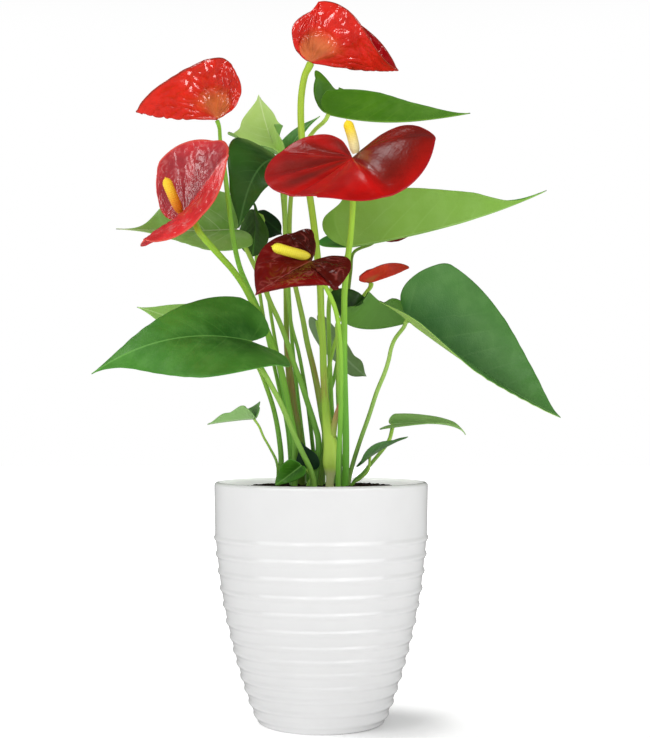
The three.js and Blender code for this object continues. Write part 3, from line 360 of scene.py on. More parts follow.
# Stems of the leaves
LEAF_STEMS = {
    "left_big": Stem(
        (-4, -27), (1.7, 1.6, 1.5, 1.5, 1.4),
        [(-6, -29, 150), (-11.5, -31, 162), (-17.5, -33, 175.5), (-23, -34, 188.5), (-29.5, -34, 200.5),
         (-35, -33, 210), (-41.5, -22.5, 220), (-41.5, -23.5, 225)],
    ),
    "left_tip": Stem(
        (-26, -1), (1.8, 1.7, 1.5, 1.4, 1.3, 1.2),
        [(-24, 0, 154), (-25.5, 2, 170), (-28.5, 5, 185), (-33, 9, 198.5), (-39, 14, 212), (-50, 18, 224.5),
         (-62.5, 20.5, 226), (-65.5, 18, 229)],
    ),
    "right_big": Stem(
        (16, -1), (1.5, 1.4, 1.3, 1.3, 1.3, 1.2, 1.2),
        [(18.5, -2, 151.5), (23, -4, 166), (28.5, -6, 181.5), (33, -8, 195.5), (37.5, -9, 206.5),
         (40, -10, 214.5), (41.5, -10, 221.5), (44, -9, 227.5), (49, -7, 234), (50, -11, 236.5),
         (51, -12.5, 238)],
    ),
    "right_shaded": Stem(
        (11, 3), (1.4, 1.2, 1.1, 1.1),
        [(11.5, 3, 167), (10, 4, 194), (10, 4, 221), (9.5, 7, 236.5), (12.5, 6, 240.5)],
    ),
    "right_pale": Stem(
        (5, -5), (1.6, 1.5, 1.4, 1.4, 1.3),
        [(7, 4, 167), (6, 19, 194.5), (5, 28, 225.5), (5, 30, 253.5), (10.5, 24, 273), (16, 12, 279.5),
         (17.5, 10, 284)],
    ),
    "upper_right": Stem(
        (-1, -1), (2.2, 2.2, 2, 1.7, 1.5, 1.5, 1.4, 1.3, 1.2),
        [(2.5, 0, 167), (0.5, 1, 182.5), (-2, 2, 197), (-5, 3, 211.5), (-8.5, 5, 226), (-11, 6, 239.5),
         (-14, 8, 253), (-17.5, 13, 269.5), (-19.5, 20, 290), (-19.5, 24, 306.5), (-18.5, 31, 322.5),
         (-15.5, 36.5, 339.5), (-11, 36, 351.5), (-4.5, 33, 360.5), (2, 24, 364.5), (4.5, 21.5, 368.5)],
    ),
    "narrow": Stem(
        (-8, 24), (1.4, 1.2, 1.1, 1.1),
        [(-13, 30, 179), (-18.5, 42, 229.5), (-22, 54, 288), (-23, 60, 327.5), (-19, 62, 349),
         (-20, 60, 353.5)],
    ),
    "upright_pale": Stem(
        (-12, 9), (2.7, 2.8, 2.7, 2.4, 1.7, 1.6, 1.5, 1.4, 1.3, 1.3),
        [(-13.5, 8, 167), (-16, 8, 182), (-18, 9, 196), (-19.5, 11, 209.5), (-21, 14, 224.5),
         (-21.5, 20, 243.5), (-22, 27, 266), (-22.5, 34, 288.5), (-23.5, 40, 308.5), (-25, 45, 325),
         (-25.5, 48.5, 339.5), (-26, 46.5, 347.5), (-25.5, 49.5, 349)],
    ),
    "upper_dark": Stem(
        (-3, 14), (1.4, 1.2, 1.1, 1.1, 1.1),
        [(-7, 10, 179), (-10.5, 9, 203), (-14, 9, 221.5), (-18, 10, 236.5), (-20.5, 12, 255),
         (-22, 14, 277), (-22.5, 17, 299), (-23.5, 21, 318), (-27.5, 21, 335), (-27.5, 19.5, 340)],
    ),
    "mid_olive": Stem(
        (-18, 10), (1.4, 1.2, 1.1, 1.1),
        [(-20.5, 14, 173), (-27, 20, 203.5), (-35, 28, 238), (-39.5, 34, 266.5), (-41, 38.5, 289),
         (-36.5, 35.5, 304.5), (-39.5, 33, 307.5)],
    ),
    "mid_dark": Stem(
        (-15, 27), (1.3, 1.2, 1.1, 1.1),
        [(-18, 31, 179), (-28, 42, 223), (-35, 53, 265), (-38.5, 57, 298), (-41, 61, 306.5),
         (-40, 59, 310.5)],
    ),
    "far_left": Stem(
        (-4, -8), (2, 1.9, 1.7, 1.6, 1.5, 1.5, 1.4, 1.3),
        [(-1.5, -7, 164), (-4, -6, 176.5), (-8, -5, 189), (-12, -4, 201.5), (-16.5, -2, 213.5),
         (-20.5, 0, 226), (-25.5, 2, 239), (-30.5, 4, 249.5), (-36, 8, 263), (-42.5, 13, 276.5),
         (-47.5, 17, 286.5), (-52, 28.5, 292.5), (-53.5, 29, 297)],
    ),
    "low_grey": Stem(
        (17, 19), (1.3, 1.2, 1.1, 1.1),
        [(7.5, 29, 172.5), (4, 36, 197.5), (1.5, 42, 220), (-2.5, 48, 239.5), (-2, 52.5, 241.5)],
    ),
    "low_left": Stem(
        (-26, -9), (0.9, 0.8, 0.8, 0.7, 0.7),
        [(-26, -10, 153), (-30, -10.5, 162), (-34, -11, 169), (-36.5, -12, 175), (-39.5, -12.5, 179.5)],
    ),
    "low_right": Stem(
        (19, 7), (1.2, 1.1, 1.1, 1.2, 1.2),
        [(25.5, 8, 147), (31.5, 10, 154), (37, 12.5, 160.5), (41.5, 15, 167), (44, 18.5, 176)],
    ),
    "low_right_dark": Stem(
        (18, -8), (0.9, 0.8, 0.8, 0.8),
        [(23.5, -8, 144.5), (28, -7, 149.5), (29, -4.5, 157)],
    ),
    "base_front": Stem(
        (-6, -21), (1.1, 1, 0.9, 0.9),
        [(-5.5, -21, 146.5), (-9, -21, 150), (-12, -33, 152.5)],
    ),
    "base_dark": Stem(
        (-8, -14), (0.9, 0.8, 0.8),
        [(-6, -14, 145), (-7.5, -12.5, 153)],
    ),
}

# Spikes of the blooms: radii at the foot, a little above it and from there on, the middle line, and the colours
# of the tip and the foot
Spike = namedtuple("Spike", "radii path tip low")
SPADICES = {
    "upper_left": Spike(
        (1.2, 1.8, 2), [(-65.5, 19, 368), (-67.5, 20, 376), (-70, 21, 384)], "f4d03a", "e8b040",
    ),
    "top": Spike((1.2, 1.8, 2), [(-5.5, 20, 403.5), (-3, 19, 412), (-1, 18, 420)], "f4d03a", "e8b040"),
    "left": Spike(
        (1.7, 2.5, 2.8), [(-81.5, -31, 299.5), (-85.5, -38.5, 308.5), (-89, -42, 317.5)], "fcd22c", "e88c20",
    ),
    "front": Spike(
        (1.8, 2.6, 2.8), [(19.5, -62, 328), (17.5, -64, 336.5), (14.5, -66, 345.5)], "ffe024", "f8ecb0",
    ),
    "dark": Spike(
        (1.8, 2.6, 2.8), [(-6.5, -66, 269.5), (-16.5, -72, 271.5), (-26.5, -76, 274)], "f4ec40", "ece040",
    ),
    "back": Spike(
        (0.8, 1.2, 1.3), [(37, 46.5, 297.5), (38.5, 48.5, 301), (40, 51, 304.5)], "d8c040", "b89838",
    ),
}


# Nodes of the materials and the studio


class Nodes:
    """Short words for building a node tree."""

    def __init__(self, tree):
        self.tree = tree

    def put(self, socket, value):
        if isinstance(value, bpy.types.NodeSocket):
            self.tree.links.new(value, socket)
        else:
            socket.default_value = value

    def node(self, kind, inputs, output=0, **settings):
        """An output of a new node, whose inputs are numbers, colours or the outputs of other nodes."""
        node = self.tree.nodes.new("ShaderNode" + kind)
        for name, value in settings.items():
            setattr(node, name, value)
        for name, value in inputs.items():
            self.put(node.inputs[name], value)
        return node.outputs[output]

    def number(self, name):
        """A number stored on the mesh, or 0 where the mesh has none of that name."""
        return self.node("Attribute", {}, "Fac", attribute_name=name)

    def place(self):
        return self.node("TexCoord", {}, "Object")

    def math(self, kind, a, b):
        return self.node("Math", {0: a, 1: b}, operation=kind)

    def times(self, a, b):
        return self.math("MULTIPLY", a, b)

    def ramp(self, value, low, high, out_low=0.0, out_high=1.0):
        """Eases value from out_low at low to out_high at high."""
        ends = {"Value": value, "From Min": low, "From Max": high, "To Min": out_low, "To Max": out_high}
        return self.node("MapRange", ends, "Result", interpolation_type="SMOOTHSTEP")

    def mix(self, factor, a, b):
        return self.node("Mix", {0: factor, 6: a, 7: b}, 2, data_type="RGBA")

    def darker(self, factor, base, share, shadow):
        """The base colour, led by factor towards a mix of it with a dark one."""
        return self.mix(factor, base, self.mix(share, base, (*shadow, 1)))

    def vector(self, x, y):
        return self.node("CombineXYZ", {0: x, 1: y})

    def noise(self, vector, scale, detail=2.0, rough=0.5):
        inputs = {"Vector": vector, "Scale": scale, "Detail": detail, "Roughness": rough}
        return self.node("TexNoise", inputs, "Fac")

    def cells(self, vector, scale):
        """Distance to the nearest cell wall."""
        inputs = {"Vector": vector, "Scale": scale}
        return self.node("TexVoronoi", inputs, "Distance", feature="DISTANCE_TO_EDGE")

    def bump(self, height, depth, strength, below=None):
        inputs = {"Distance": depth, "Strength": strength, "Height": height}
        if below is not None:
            inputs["Normal"] = below
        return self.node("Bump", inputs, "Normal")


# Camera and lights. The photograph looks level at the plant, a little upward.
EYE = (2.3, -820.0, 182.0)
PITCH = 1.93
LENS = 66.67

WALL_LIGHT = 1.0
CEILING_LIGHT = 0.45
# Between these steepnesses of the way up, from 0 to 1, the wall turns into the ceiling
WALL_TOP = (0.26, 0.55)
# How bright the walls are where a shiny piece mirrors them
MIRRORED_WALLS = 0.15

# Lamps: name, place and aim in metres, size and power
LAMPS = [
    ("key", (-0.6, -0.95, 1.3), (0, 0, 0.25), (0.26, 0.26), 2.9),
    ("over", (-0.3, 0.35, 1.4), (0, 0, 0.3), (0.4, 0.3), 2.5),
    ("front", (0.9, -1.3, 0.7), (0, 0, 0.25), (0.8, 0.8), 4.0),
    ("spark", (-0.75, 0.15, 1.15), (0, 0, 0.35), (0.16, 0.16), 1.3),
]
# Lamps that only show as a shiny spot, on the pieces whose names start with the last word
SHINE_LAMPS = [
    ("strip_left", (-1.12, 0.56, 0.45), (0, 0, 0.35), (0.2, 0.4), 2.6, "look_spathe_left"),
    ("strip_right", (1.25, -0.35, 0.42), (0, 0, 0.42), (0.45, 0.5), 9.0, "look_spathe_upper_left"),
    ("strip_front", (-0.75, -0.85, 0.62), (0, 0, 0.45), (0.32, 0.4), 6.0, "look_spathe_top"),
    ("strip_over", (-0.5, 0.15, 1.45), (0, 0, 0.36), (0.4, 0.22), 1.1, "look_spathe_front"),
]
# Tall panels in front of the pot, turned round it by these degrees, that draw a bright line on each ring
PANEL_TURNS = (-48, 0, 48)
PANEL_AWAY = 1.22
PANEL_HEIGHT = 0.75
PANEL_AIM = (0, 0, 0.07)
PANEL_SIZE = (1.2, 0.85)
PANEL_POWER = 13.0


def add_camera():
    data = bpy.data.cameras.new("camera")
    data.sensor_fit = "VERTICAL"
    data.sensor_height = 36
    data.lens = LENS
    data.clip_end = 50
    camera = bpy.data.objects.new("camera", data)
    camera.location = [k * MM for k in EYE]
    camera.rotation_euler = (math.radians(90 + PITCH), 0, 0)
    bpy.context.scene.collection.objects.link(camera)
    bpy.context.scene.camera = camera


def add_lamp(name, place, aim, size, power, shine_on=None):
    """A soft rectangular lamp at place that looks at aim.

    With shine_on it only shows as a shiny spot on the pieces whose names start so.
    """
    data = bpy.data.lights.new(name, "AREA")
    data.shape = "RECTANGLE"
    data.size, data.size_y = size
    data.energy = power
    lamp = bpy.data.objects.new(name, data)
    lamp.location = place
    lamp.visible_camera = False
    away = np.array(place, float) - np.array(aim, float)
    lamp.rotation_euler = (math.atan2(math.hypot(away[0], away[1]), away[2]), 0, math.atan2(away[0], -away[1]))
    if shine_on:
        lamp.visible_diffuse = False
        lamp["shine_on"] = shine_on
    bpy.context.scene.collection.objects.link(lamp)


def share_out_shine():
    """Each lamp that only makes shiny spots makes them on its own pieces alone."""
    for lamp in [piece for piece in bpy.data.objects if "shine_on" in piece]:
        shiny = bpy.data.collections.new(lamp.name + "_shine")
        for piece in bpy.data.objects:
            if piece.name.startswith(lamp["shine_on"]):
                shiny.objects.link(piece)
        lamp.light_linking.receiver_collection = shiny


def add_studio_walls():
    """White all round near the level of the plant, dimmer overhead, as in a white photo tent."""
    world = bpy.data.worlds.new("studio")
    bpy.context.scene.world = world
    world.use_nodes = True
    n = Nodes(world.node_tree)
    up = n.node("SeparateXYZ", {0: n.node("TexCoord", {}, "Generated")}, "Z")
    wall = n.ramp(up, *WALL_TOP, WALL_LIGHT, CEILING_LIGHT)
    glossy = n.node("LightPath", {}, "Is Glossy Ray")
    mirrored = n.node("MapRange", {"Value": glossy, "To Min": 1.0, "To Max": MIRRORED_WALLS})
    backdrop = world.node_tree.nodes["Background"].inputs
    n.put(backdrop["Strength"], n.times(wall, mirrored))
    backdrop["Color"].default_value = (1, 1, 1, 1)


def add_lights():
    for lamp in LAMPS + SHINE_LAMPS:
        add_lamp(*lamp)
    for turn in PANEL_TURNS:
        side, ahead = math.sin(math.radians(turn)), math.cos(math.radians(turn))
        place = (PANEL_AWAY * side, -PANEL_AWAY * ahead, PANEL_HEIGHT)
        add_lamp("panel%+d" % turn, place, PANEL_AIM, PANEL_SIZE, PANEL_POWER, "look_pot")
    bpy.data.objects["over"].visible_glossy = False
    add_studio_walls()
    bpy.context.scene.view_settings.view_transform = "Standard"


# Curves and meshes


def unit(v):
    return v / np.maximum(np.linalg.norm(v, axis=-1, keepdims=True), 1e-12)


def smooth_points(points, count):
    """count + 1 points of a smooth curve, evenly spread along the straight path between the given points."""
    pts = np.asarray(points, float)
    held = np.vstack([2 * pts[0] - pts[1], pts, 2 * pts[-1] - pts[-2]])
    steps = np.linalg.norm(np.diff(pts, axis=0), axis=1)
    reach = np.concatenate([[0], np.cumsum(steps)])
    out = []
    for along in np.linspace(0, reach[-1], count + 1):
        i = min(int(np.searchsorted(reach, along, side="right")) - 1, len(steps) - 1)
        t = (along - reach[i]) / steps[i]
        a, b, c, d = held[i : i + 4]
        curve = 2 * b + (c - a) * t
        curve = curve + (2 * a - 5 * b + 4 * c - d) * t**2
        curve = curve + (3 * b - a - 3 * c + d) * t**3
        out.append(curve / 2)
    return np.array(out)


def ease(x, low, high):
    t = np.clip((x - low) / (high - low), 0, 1)
    return t * t * (3 - 2 * t)


def spread(values, count):
    """count values, read off evenly along a shorter row of them."""
    return np.interp(np.linspace(0, 1, count), np.linspace(0, 1, len(values)), values)


def ripple(x, y, seed):
    """A gentle unevenness from a few crossed waves, between about -1 and 1."""
    rng = np.random.default_rng(seed)
    total = 0
    for _ in range(5):
        fx, fy = rng.uniform(1.5, 6.5, 2) * rng.choice([-1, 1], 2)
        total = total + np.sin(fx * x + fy * y + rng.uniform(0, 6.28)) / 2.5
    return total


def pillows(x, y, seed):
    """A net of uneven cells about one unit wide: 0 on the walls between them, up to 1 inside."""
    first = np.full(np.shape(x), 9.0)
    second = first.copy()
    for i in (-1, 0, 1):
        for j in (-1, 0, 1):
            cell_x, cell_y = np.floor(x) + i, np.floor(y) + j
            hash_x = np.sin(cell_x * 127.1 + cell_y * 311.7 + seed * 17.3) * 4375.85
            hash_y = np.sin(cell_x * 269.5 + cell_y * 183.3 + seed * 31.7) * 4375.85
            off_x = cell_x + 0.5 + 0.38 * (2 * (hash_x % 1) - 1) - x
            off_y = cell_y + 0.5 + 0.38 * (2 * (hash_y % 1) - 1) - y
            far = np.hypot(off_x, off_y)
            second = np.minimum(second, np.maximum(first, far))
            first = np.minimum(first, far)
    return np.clip((second - first) / 0.7, 0, 1)


def mesh_object(name, points, faces, materials, numbers=None, face_materials=None):
    """A smooth-shaded mesh in metres from points in mm, with named numbers on its points."""
    mesh = bpy.data.meshes.new(name)
    mesh.from_pydata([tuple(p) for p in np.asarray(points) * MM], [], faces)
    for key, values in (numbers or {}).items():
        attribute = mesh.attributes.new(key, "FLOAT", "POINT")
        attribute.data.foreach_set("value", np.asarray(values, np.float32))
    for material in materials:
        mesh.materials.append(material)
    if face_materials is not None:
        mesh.polygons.foreach_set("material_index", np.asarray(face_materials, np.int32))
    mesh.polygons.foreach_set("use_smooth", np.ones(len(mesh.polygons), bool))
    mesh.validate()
    piece = bpy.data.objects.new(name, mesh)
    bpy.context.scene.collection.objects.link(piece)
    return piece


def joined(first, second):
    """Two bodies of (points, faces, numbers) as one. A number that only one of them has is 0 on the other."""
    count = len(first[0])
    faces = first[1] + [[count + k for k in face] for face in second[1]]
    numbers = {}
    for key in {**first[2], **second[2]}:
        numbers[key] = np.concatenate([body[2].get(key, np.zeros(len(body[0]))) for body in (first, second)])
    return np.vstack([first[0], second[0]]), faces, numbers


def ring_faces(rings, sides, start=0):
    """Faces that join each closed ring of points to the next one. start is the first ring's first point."""
    faces = []
    for ring in range(start, start + rings * sides, sides):
        for s in range(sides):
            t = (s + 1) % sides
            faces.append([ring + s, ring + sides + s, ring + sides + t, ring + t])
    return faces


# Blades. A blade's flat form has u along the midrib, as a share of its length, and v across it, as a share of
# the half width. Side 0 is the left half.


def midrib(blade, u):
    """Points of the midrib and the directions it runs in there, for an array of u."""
    a, b, c = (np.array(point, float) for point in (blade.joint, blade.middle, blade.tip))
    u = u[..., None]
    point = a * (1 - u) ** 2 + 2 * b * u * (1 - u) + c * u**2
    run = unit(2 * (b - a) * (1 - u) + 2 * (c - b) * u)
    return point, run


def midrib_length(blade):
    points, _ = midrib(blade, np.linspace(0, 1, 21))
    return float(np.linalg.norm(np.diff(points, axis=0), axis=1).sum())


def half_outline(blade, outline, side, steps):
    rim = smooth_points([(u, v, 0) for u, v in outline], steps)[:, :2]
    rim[:, 1] *= 1 + blade.full[side] * np.sin(np.pi * np.maximum(rim[:, 0], 0))
    rim[:, 1] *= 1 - blade.slim * ease(rim[:, 0], *TIP_STRETCH)
    rim[:, 0] = np.where(rim[:, 0] < 0, rim[:, 0] * blade.back[side], rim[:, 0])
    return rim


def bend(blade, length, side, u, v):
    """Where the flat points (u, v) of one half lie in space."""
    sign = 1 if side == 0 else -1
    ahead = np.maximum(u, 0)
    point, run = midrib(blade, ahead)
    face = unit(np.array(blade.face, float))
    up = unit(face - (run @ face)[..., None] * run)
    left = np.cross(up, run)
    turn = (math.radians(blade.twist) * ahead)[..., None]
    up, left = up * np.cos(turn) + left * np.sin(turn), left * np.cos(turn) - up * np.sin(turn)
    lift = math.radians(blade.lobe[side]) * np.minimum(1, np.maximum(-u, 0) / LOBE_RISE) * 0.5
    lift = lift[..., None]
    back = (np.minimum(u, 0) * length)[..., None]
    point = point + run * back * np.cos(lift) - up * back * np.sin(lift)
    up = up * np.cos(2 * lift) + run * np.sin(2 * lift)
    at_joint, at_tip = blade.fold[2 * side : 2 * side + 2]
    fold = np.radians(at_joint + (at_tip - at_joint) * ahead)
    curl = math.radians(blade.cup[side]) / blade.width[side]
    reach = v * blade.width[side]
    if abs(curl) > 1e-6:
        across = (np.sin(fold + curl * reach) - np.sin(fold)) / curl
        rise = (np.cos(fold) - np.cos(fold + curl * reach)) / curl
    else:
        across = reach * np.cos(fold)
        rise = reach * np.sin(fold)
    return point + left * (sign * across)[..., None] + up * rise[..., None]


def vein_count(u, v, tissue):
    """A number that is whole on each side vein: veins leave the midrib, and behind the joint they fan out."""
    start = u - tissue.sweep * v**1.25
    angle = np.arctan2(v, u + 1e-9)
    fan = -np.maximum(angle - np.arctan2(1.0, tissue.sweep), 0) * 1.6
    return np.where(start > 0, start * tissue.veins, fan)


def blade_sheet(blade, tissue, grid, relief):
    """The middle surface of a blade: points, faces, edge loop and the numbers that its material reads."""
    length = midrib_length(blade)
    rows, steps = grid
    points, numbers, index, halves = [], [], {}, []
    for side in (0, 1):
        rim = half_outline(blade, tissue.outline, side, steps)
        ratio = (np.arange(rows + 1) / rows)[:, None]
        u, v = ratio * rim[:, 0], ratio * rim[:, 1]
        halves.append((bend(blade, length, side, u, v), u, v, ratio + 0 * u))

    def at(side, i, j):
        key = "joint" if i == 0 else ("rib", i) if j == 0 else (side, i, j)
        if key not in index:
            index[key] = len(points)
            place, u, v, ratio = halves[side]
            points.append(place[i, j])
            numbers.append((u[i, j], v[i, j], ratio[i, j], side))
        return index[key]

    faces = []
    for side in (0, 1):
        for j in range(steps):
            for i in range(rows):
                ring = [at(side, i, j), at(side, i + 1, j), at(side, i + 1, j + 1), at(side, i, j + 1)]
                if i == 0:
                    ring = ring[:3]
                faces.append(ring if side == 0 else ring[::-1])
    edge = [at(0, rows, j) for j in range(steps)]
    edge += [at(0, i, steps) for i in range(rows, -1, -1)]
    edge += [at(1, i, steps) for i in range(1, rows + 1)]
    edge += [at(1, rows, j) for j in range(steps - 1, 0, -1)]
    points = np.array(points)
    u, v, ratio, side = np.array(numbers).T
    across = v * np.where(side == 0, *blade.width)
    data = {
        "along": u,
        "off_rib": across,
        "rim": ratio,
        "side": side,
        "vein": vein_count(u, v, tissue),
        "turn": np.degrees(np.arctan2(across, u * length)),
        "reach": np.hypot(across, u * length),
        "net": 0 * u,
    }
    points = points + point_normals(points, faces) * relief(data)[:, None]
    return points, faces, edge, data


def point_normals(points, faces):
    normals = np.zeros_like(points)
    for size in (3, 4):
        rings = np.array([f for f in faces if len(f) == size])
        if not len(rings):
            continue
        corner = points[rings]
        normal = np.cross(corner[:, 2] - corner[:, 0], corner[:, -1] - corner[:, 1])
        for k in range(size):
            np.add.at(normals, rings[:, k], normal)
    return unit(normals)


def thicken(points, faces, edge, data, tissue):
    """Both faces and a rounded edge. The underside is fuller along the midrib."""
    count = len(points)
    normals = point_normals(points, faces)
    full = tissue.thickness / 2 + 0 * data["rim"]
    under = full + tissue.rib * np.exp(-((data["off_rib"] / RIB_HALF) ** 2)) * ease(1 - data["along"], 0, 0.5)
    ring = np.array(edge)
    run = unit(points[np.roll(ring, -1)] - points[np.roll(ring, 1)])
    middle = points[ring] + np.cross(run, normals[ring]) * tissue.thickness * EDGE_BULGE
    everything = np.vstack([points + normals * full[:, None], points - normals * under[:, None], middle])
    all_faces = faces + [[count + k for k in f[::-1]] for f in faces]
    total = len(ring)
    for k in range(total):
        a, b = ring[k], ring[(k + 1) % total]
        c, d = 2 * count + k, 2 * count + (k + 1) % total
        all_faces.append([a, c, d, b])
        all_faces.append([c, count + a, count + b, d])
    whole = {key: np.concatenate([value, value, value[ring]]) for key, value in data.items()}
    whole["upper"] = np.concatenate([np.ones(count), np.zeros(count), np.full(total, 0.5)])
    return everything, all_faces, whole


def blade_body(blade, tissue, grid, relief, shade):
    """A whole blade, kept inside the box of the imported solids."""
    points, faces, edge, data = blade_sheet(blade, tissue, grid, relief)
    data["shade"] = np.clip(shade(data), 0, 1)
    points, faces, data = thicken(points, faces, edge, data, tissue)
    return np.clip(points, *(np.array(cad_box) / MM)), faces, data


# Stems and turned bodies


def tube(path, radii, grid, extra=None, dome=0.0):
    """A round stem along a smooth curve: points, faces, and how far along and round each point is.

    extra adds to its radius, and its far end is domed over the share dome of its length.
    """
    sides, rings = grid
    centres = smooth_points(path, rings)
    along = np.linspace(0, 1, rings + 1)[:, None]
    angle = 2 * np.pi * np.arange(sides)[None, :] / sides
    run = unit(np.gradient(centres, axis=0))
    side = unit(np.cross(np.array([0.0, 1, 0]), run))
    other = np.cross(run, side)
    radius = spread(radii, rings + 1)
    size = radius[:, None] + 0 * angle
    if extra is not None:
        size = size + extra(along + 0 * angle, angle + 0 * along)
    if dome:
        size = size * np.sqrt(np.clip(1.02 - (np.maximum(along - 1 + dome, 0) / dome) ** 2, 0, 1))
    way = np.cos(angle)[..., None] * side[:, None] + np.sin(angle)[..., None] * other[:, None]
    grown = centres[:, None] + size[..., None] * way
    end = centres[-1] + run[-1] * radius[-1] * 0.35
    points = np.vstack([centres[:1], grown.reshape(-1, 3), [end]])

    def at(ring, s):
        return 1 + ring * sides + s % sides

    faces = []
    for s in range(sides):
        faces.append([0, at(0, s + 1), at(0, s)])
        faces.append([len(points) - 1, at(rings, s), at(rings, s + 1)])
        for k in range(rings):
            faces.append([at(k, s), at(k, s + 1), at(k + 1, s + 1), at(k + 1, s)])
    far = np.concatenate([[0], np.repeat(along, sides), [1]])
    turn = np.concatenate([[0], np.tile(angle[0], rings + 1), [0]])
    return points, faces, {"along": far, "round": turn}


def turned(profile, sides):
    """A turned body: profile of (radius, height) from the axis and back to it."""
    points, rows = [], []
    for r, z in profile:
        if r == 0:
            rows.append([len(points)] * sides)
            points.append((0, 0, z))
        else:
            rows.append(list(range(len(points), len(points) + sides)))
            for s in range(sides):
                angle = 2 * math.pi * s / sides
                points.append((r * math.cos(angle), r * math.sin(angle), z))
    faces = []
    for a, b in zip(rows, rows[1:]):
        for s in range(sides):
            t = (s + 1) % sides
            ring = [a[s], a[t], b[t], b[s]]
            faces.append([k for n, k in enumerate(ring) if k not in ring[:n]])
    return np.array(points), faces


# Materials

# The middle of the shadow at the pot's foot, and how the floor's glow rises round it: from and to these
# distances in metres, from and to these strengths
SHADOW_PLACE = (0.034, -0.004, 0)
NEAR_GLOW = (0.017, 0.06, 0.0, 0.36)
FAR_GLOW = (0.15, 0.9, 0.0, 0.64)
# The glow of the pot's inner wall, which stands in for light that comes back from all round
INSIDE_GLOW = 0.36


def colour(text):
    """A colour as written on screen, such as "c81e20", in the light values that shaders use."""
    screen = [int(text[k : k + 2], 16) / 255 for k in (0, 2, 4)]
    return tuple(c / 12.92 if c <= 0.04045 else ((c + 0.055) / 1.055) ** 2.4 for c in screen) + (1.0,)


class Paint(Nodes):
    """The nodes of one new material round its Principled shader."""

    def __init__(self, name):
        self.material = bpy.data.materials.new(name)
        self.material.use_nodes = True
        super().__init__(self.material.node_tree)
        self.shader = next(n for n in self.tree.nodes if n.type == "BSDF_PRINCIPLED").inputs

    def glow(self, strength):
        self.put(self.shader["Emission Strength"], strength)
        self.shader["Emission Color"].default_value = (1, 1, 1, 1)

    def finish(self, base, rough, specular, normal=None):
        self.put(self.shader["Base Color"], base)
        self.put(self.shader["Roughness"], rough)
        self.shader["Specular IOR Level"].default_value = specular
        if normal is not None:
            self.put(self.shader["Normal"], normal)
        return self.material

    def midrib(self, half_mm):
        """1 on the midrib, by the distance from it in mm."""
        return self.ramp(self.number("off_rib"), half_mm * 0.4, half_mm, 1.0, 0.0)

    def upper_or_under(self, upper, under):
        return self.mix(self.ramp(self.number("upper"), 0.3, 0.7), under, upper)


def leaf_material(name, upper, deep, under, vein, vein_mix=0.35, rib_mix=0.7):
    """Leaf tissue: two sides, deeper green where "shade" says, paler veins and a faint fine net."""
    n = Paint(name)
    place = n.place()
    mottle = n.noise(place, 90, 3, 0.6)
    patch = n.noise(place, 28, 1)
    base = n.upper_or_under(n.mix(n.number("shade"), colour(upper), colour(deep)), colour(under))
    base = n.mix(n.ramp(mottle, 0.35, 0.7, 0.0, 0.18), base, colour(vein))
    base = n.darker(n.ramp(patch, 0.4, 0.75, 0.0, 0.22), base, 0.5, (0.0, 0.02, 0.0))
    side_veins = n.ramp(n.math("PINGPONG", n.number("vein"), 0.5), 0.0, 0.07, 1.0, 0.0)
    side_veins = n.times(side_veins, n.ramp(n.number("rim"), 0.55, 0.95, 1.0, 0.0))
    base = n.mix(n.times(side_veins, vein_mix), base, colour(vein))
    base = n.mix(n.times(n.midrib(0.75), rib_mix), base, colour(vein))
    net = n.ramp(n.cells(place, 420), 0.0, 0.12)
    normal = n.bump(n.math("ADD", net, n.times(mottle, 0.8)), 0.00006, 0.6)
    rough = n.ramp(n.noise(place, 60, 2, 0.6), 0.3, 0.7, 0.3, 0.44)
    return n.finish(base, rough, specular=0.3, normal=normal)


def spathe_material(name, upper, upper_deep, under, under_deep, vein, rim, net, rough, shine):
    """Waxy bloom tissue. "shade" leads from the first colour of a side to its second, "net" marks the veins.

    The veins' paler colour is partly a painted highlight on the crinkles.
    """
    n = Paint(name)
    place = n.place()
    shade = n.number("shade")
    inner = n.mix(shade, colour(upper), colour(upper_deep))
    outer = n.mix(shade, colour(under), colour(under_deep))
    base = n.upper_or_under(inner, outer)
    base = n.darker(n.ramp(n.noise(place, 55, 3, 0.6), 0.35, 0.7, 0.0, 0.5), base, 0.6, (0.03, 0.0, 0.0))
    speck = n.ramp(n.noise(place, 420, 2, 0.6), 0.62, 0.74, 0.0, 0.25)
    base = n.darker(speck, base, 0.5, (0.05, 0.0, 0.0))
    # Paler vein colour along the net: the real veins, and partly a painted highlight on the crinkles
    base = n.mix(n.times(n.number("net"), net), base, colour(vein))
    base = n.mix(n.times(n.midrib(0.8), net), base, colour(vein))
    base = n.mix(n.ramp(n.number("rim"), 0.972, 0.995, 0.0, 0.75), base, colour(rim))
    fine = n.bump(n.ramp(n.cells(place, 300), 0.0, 0.2), 0.00008, 0.3)
    normal = n.bump(n.noise(place, 190, 3, 0.65), 0.0007, 0.25, fine)
    return n.finish(base, rough, specular=shine, normal=normal)


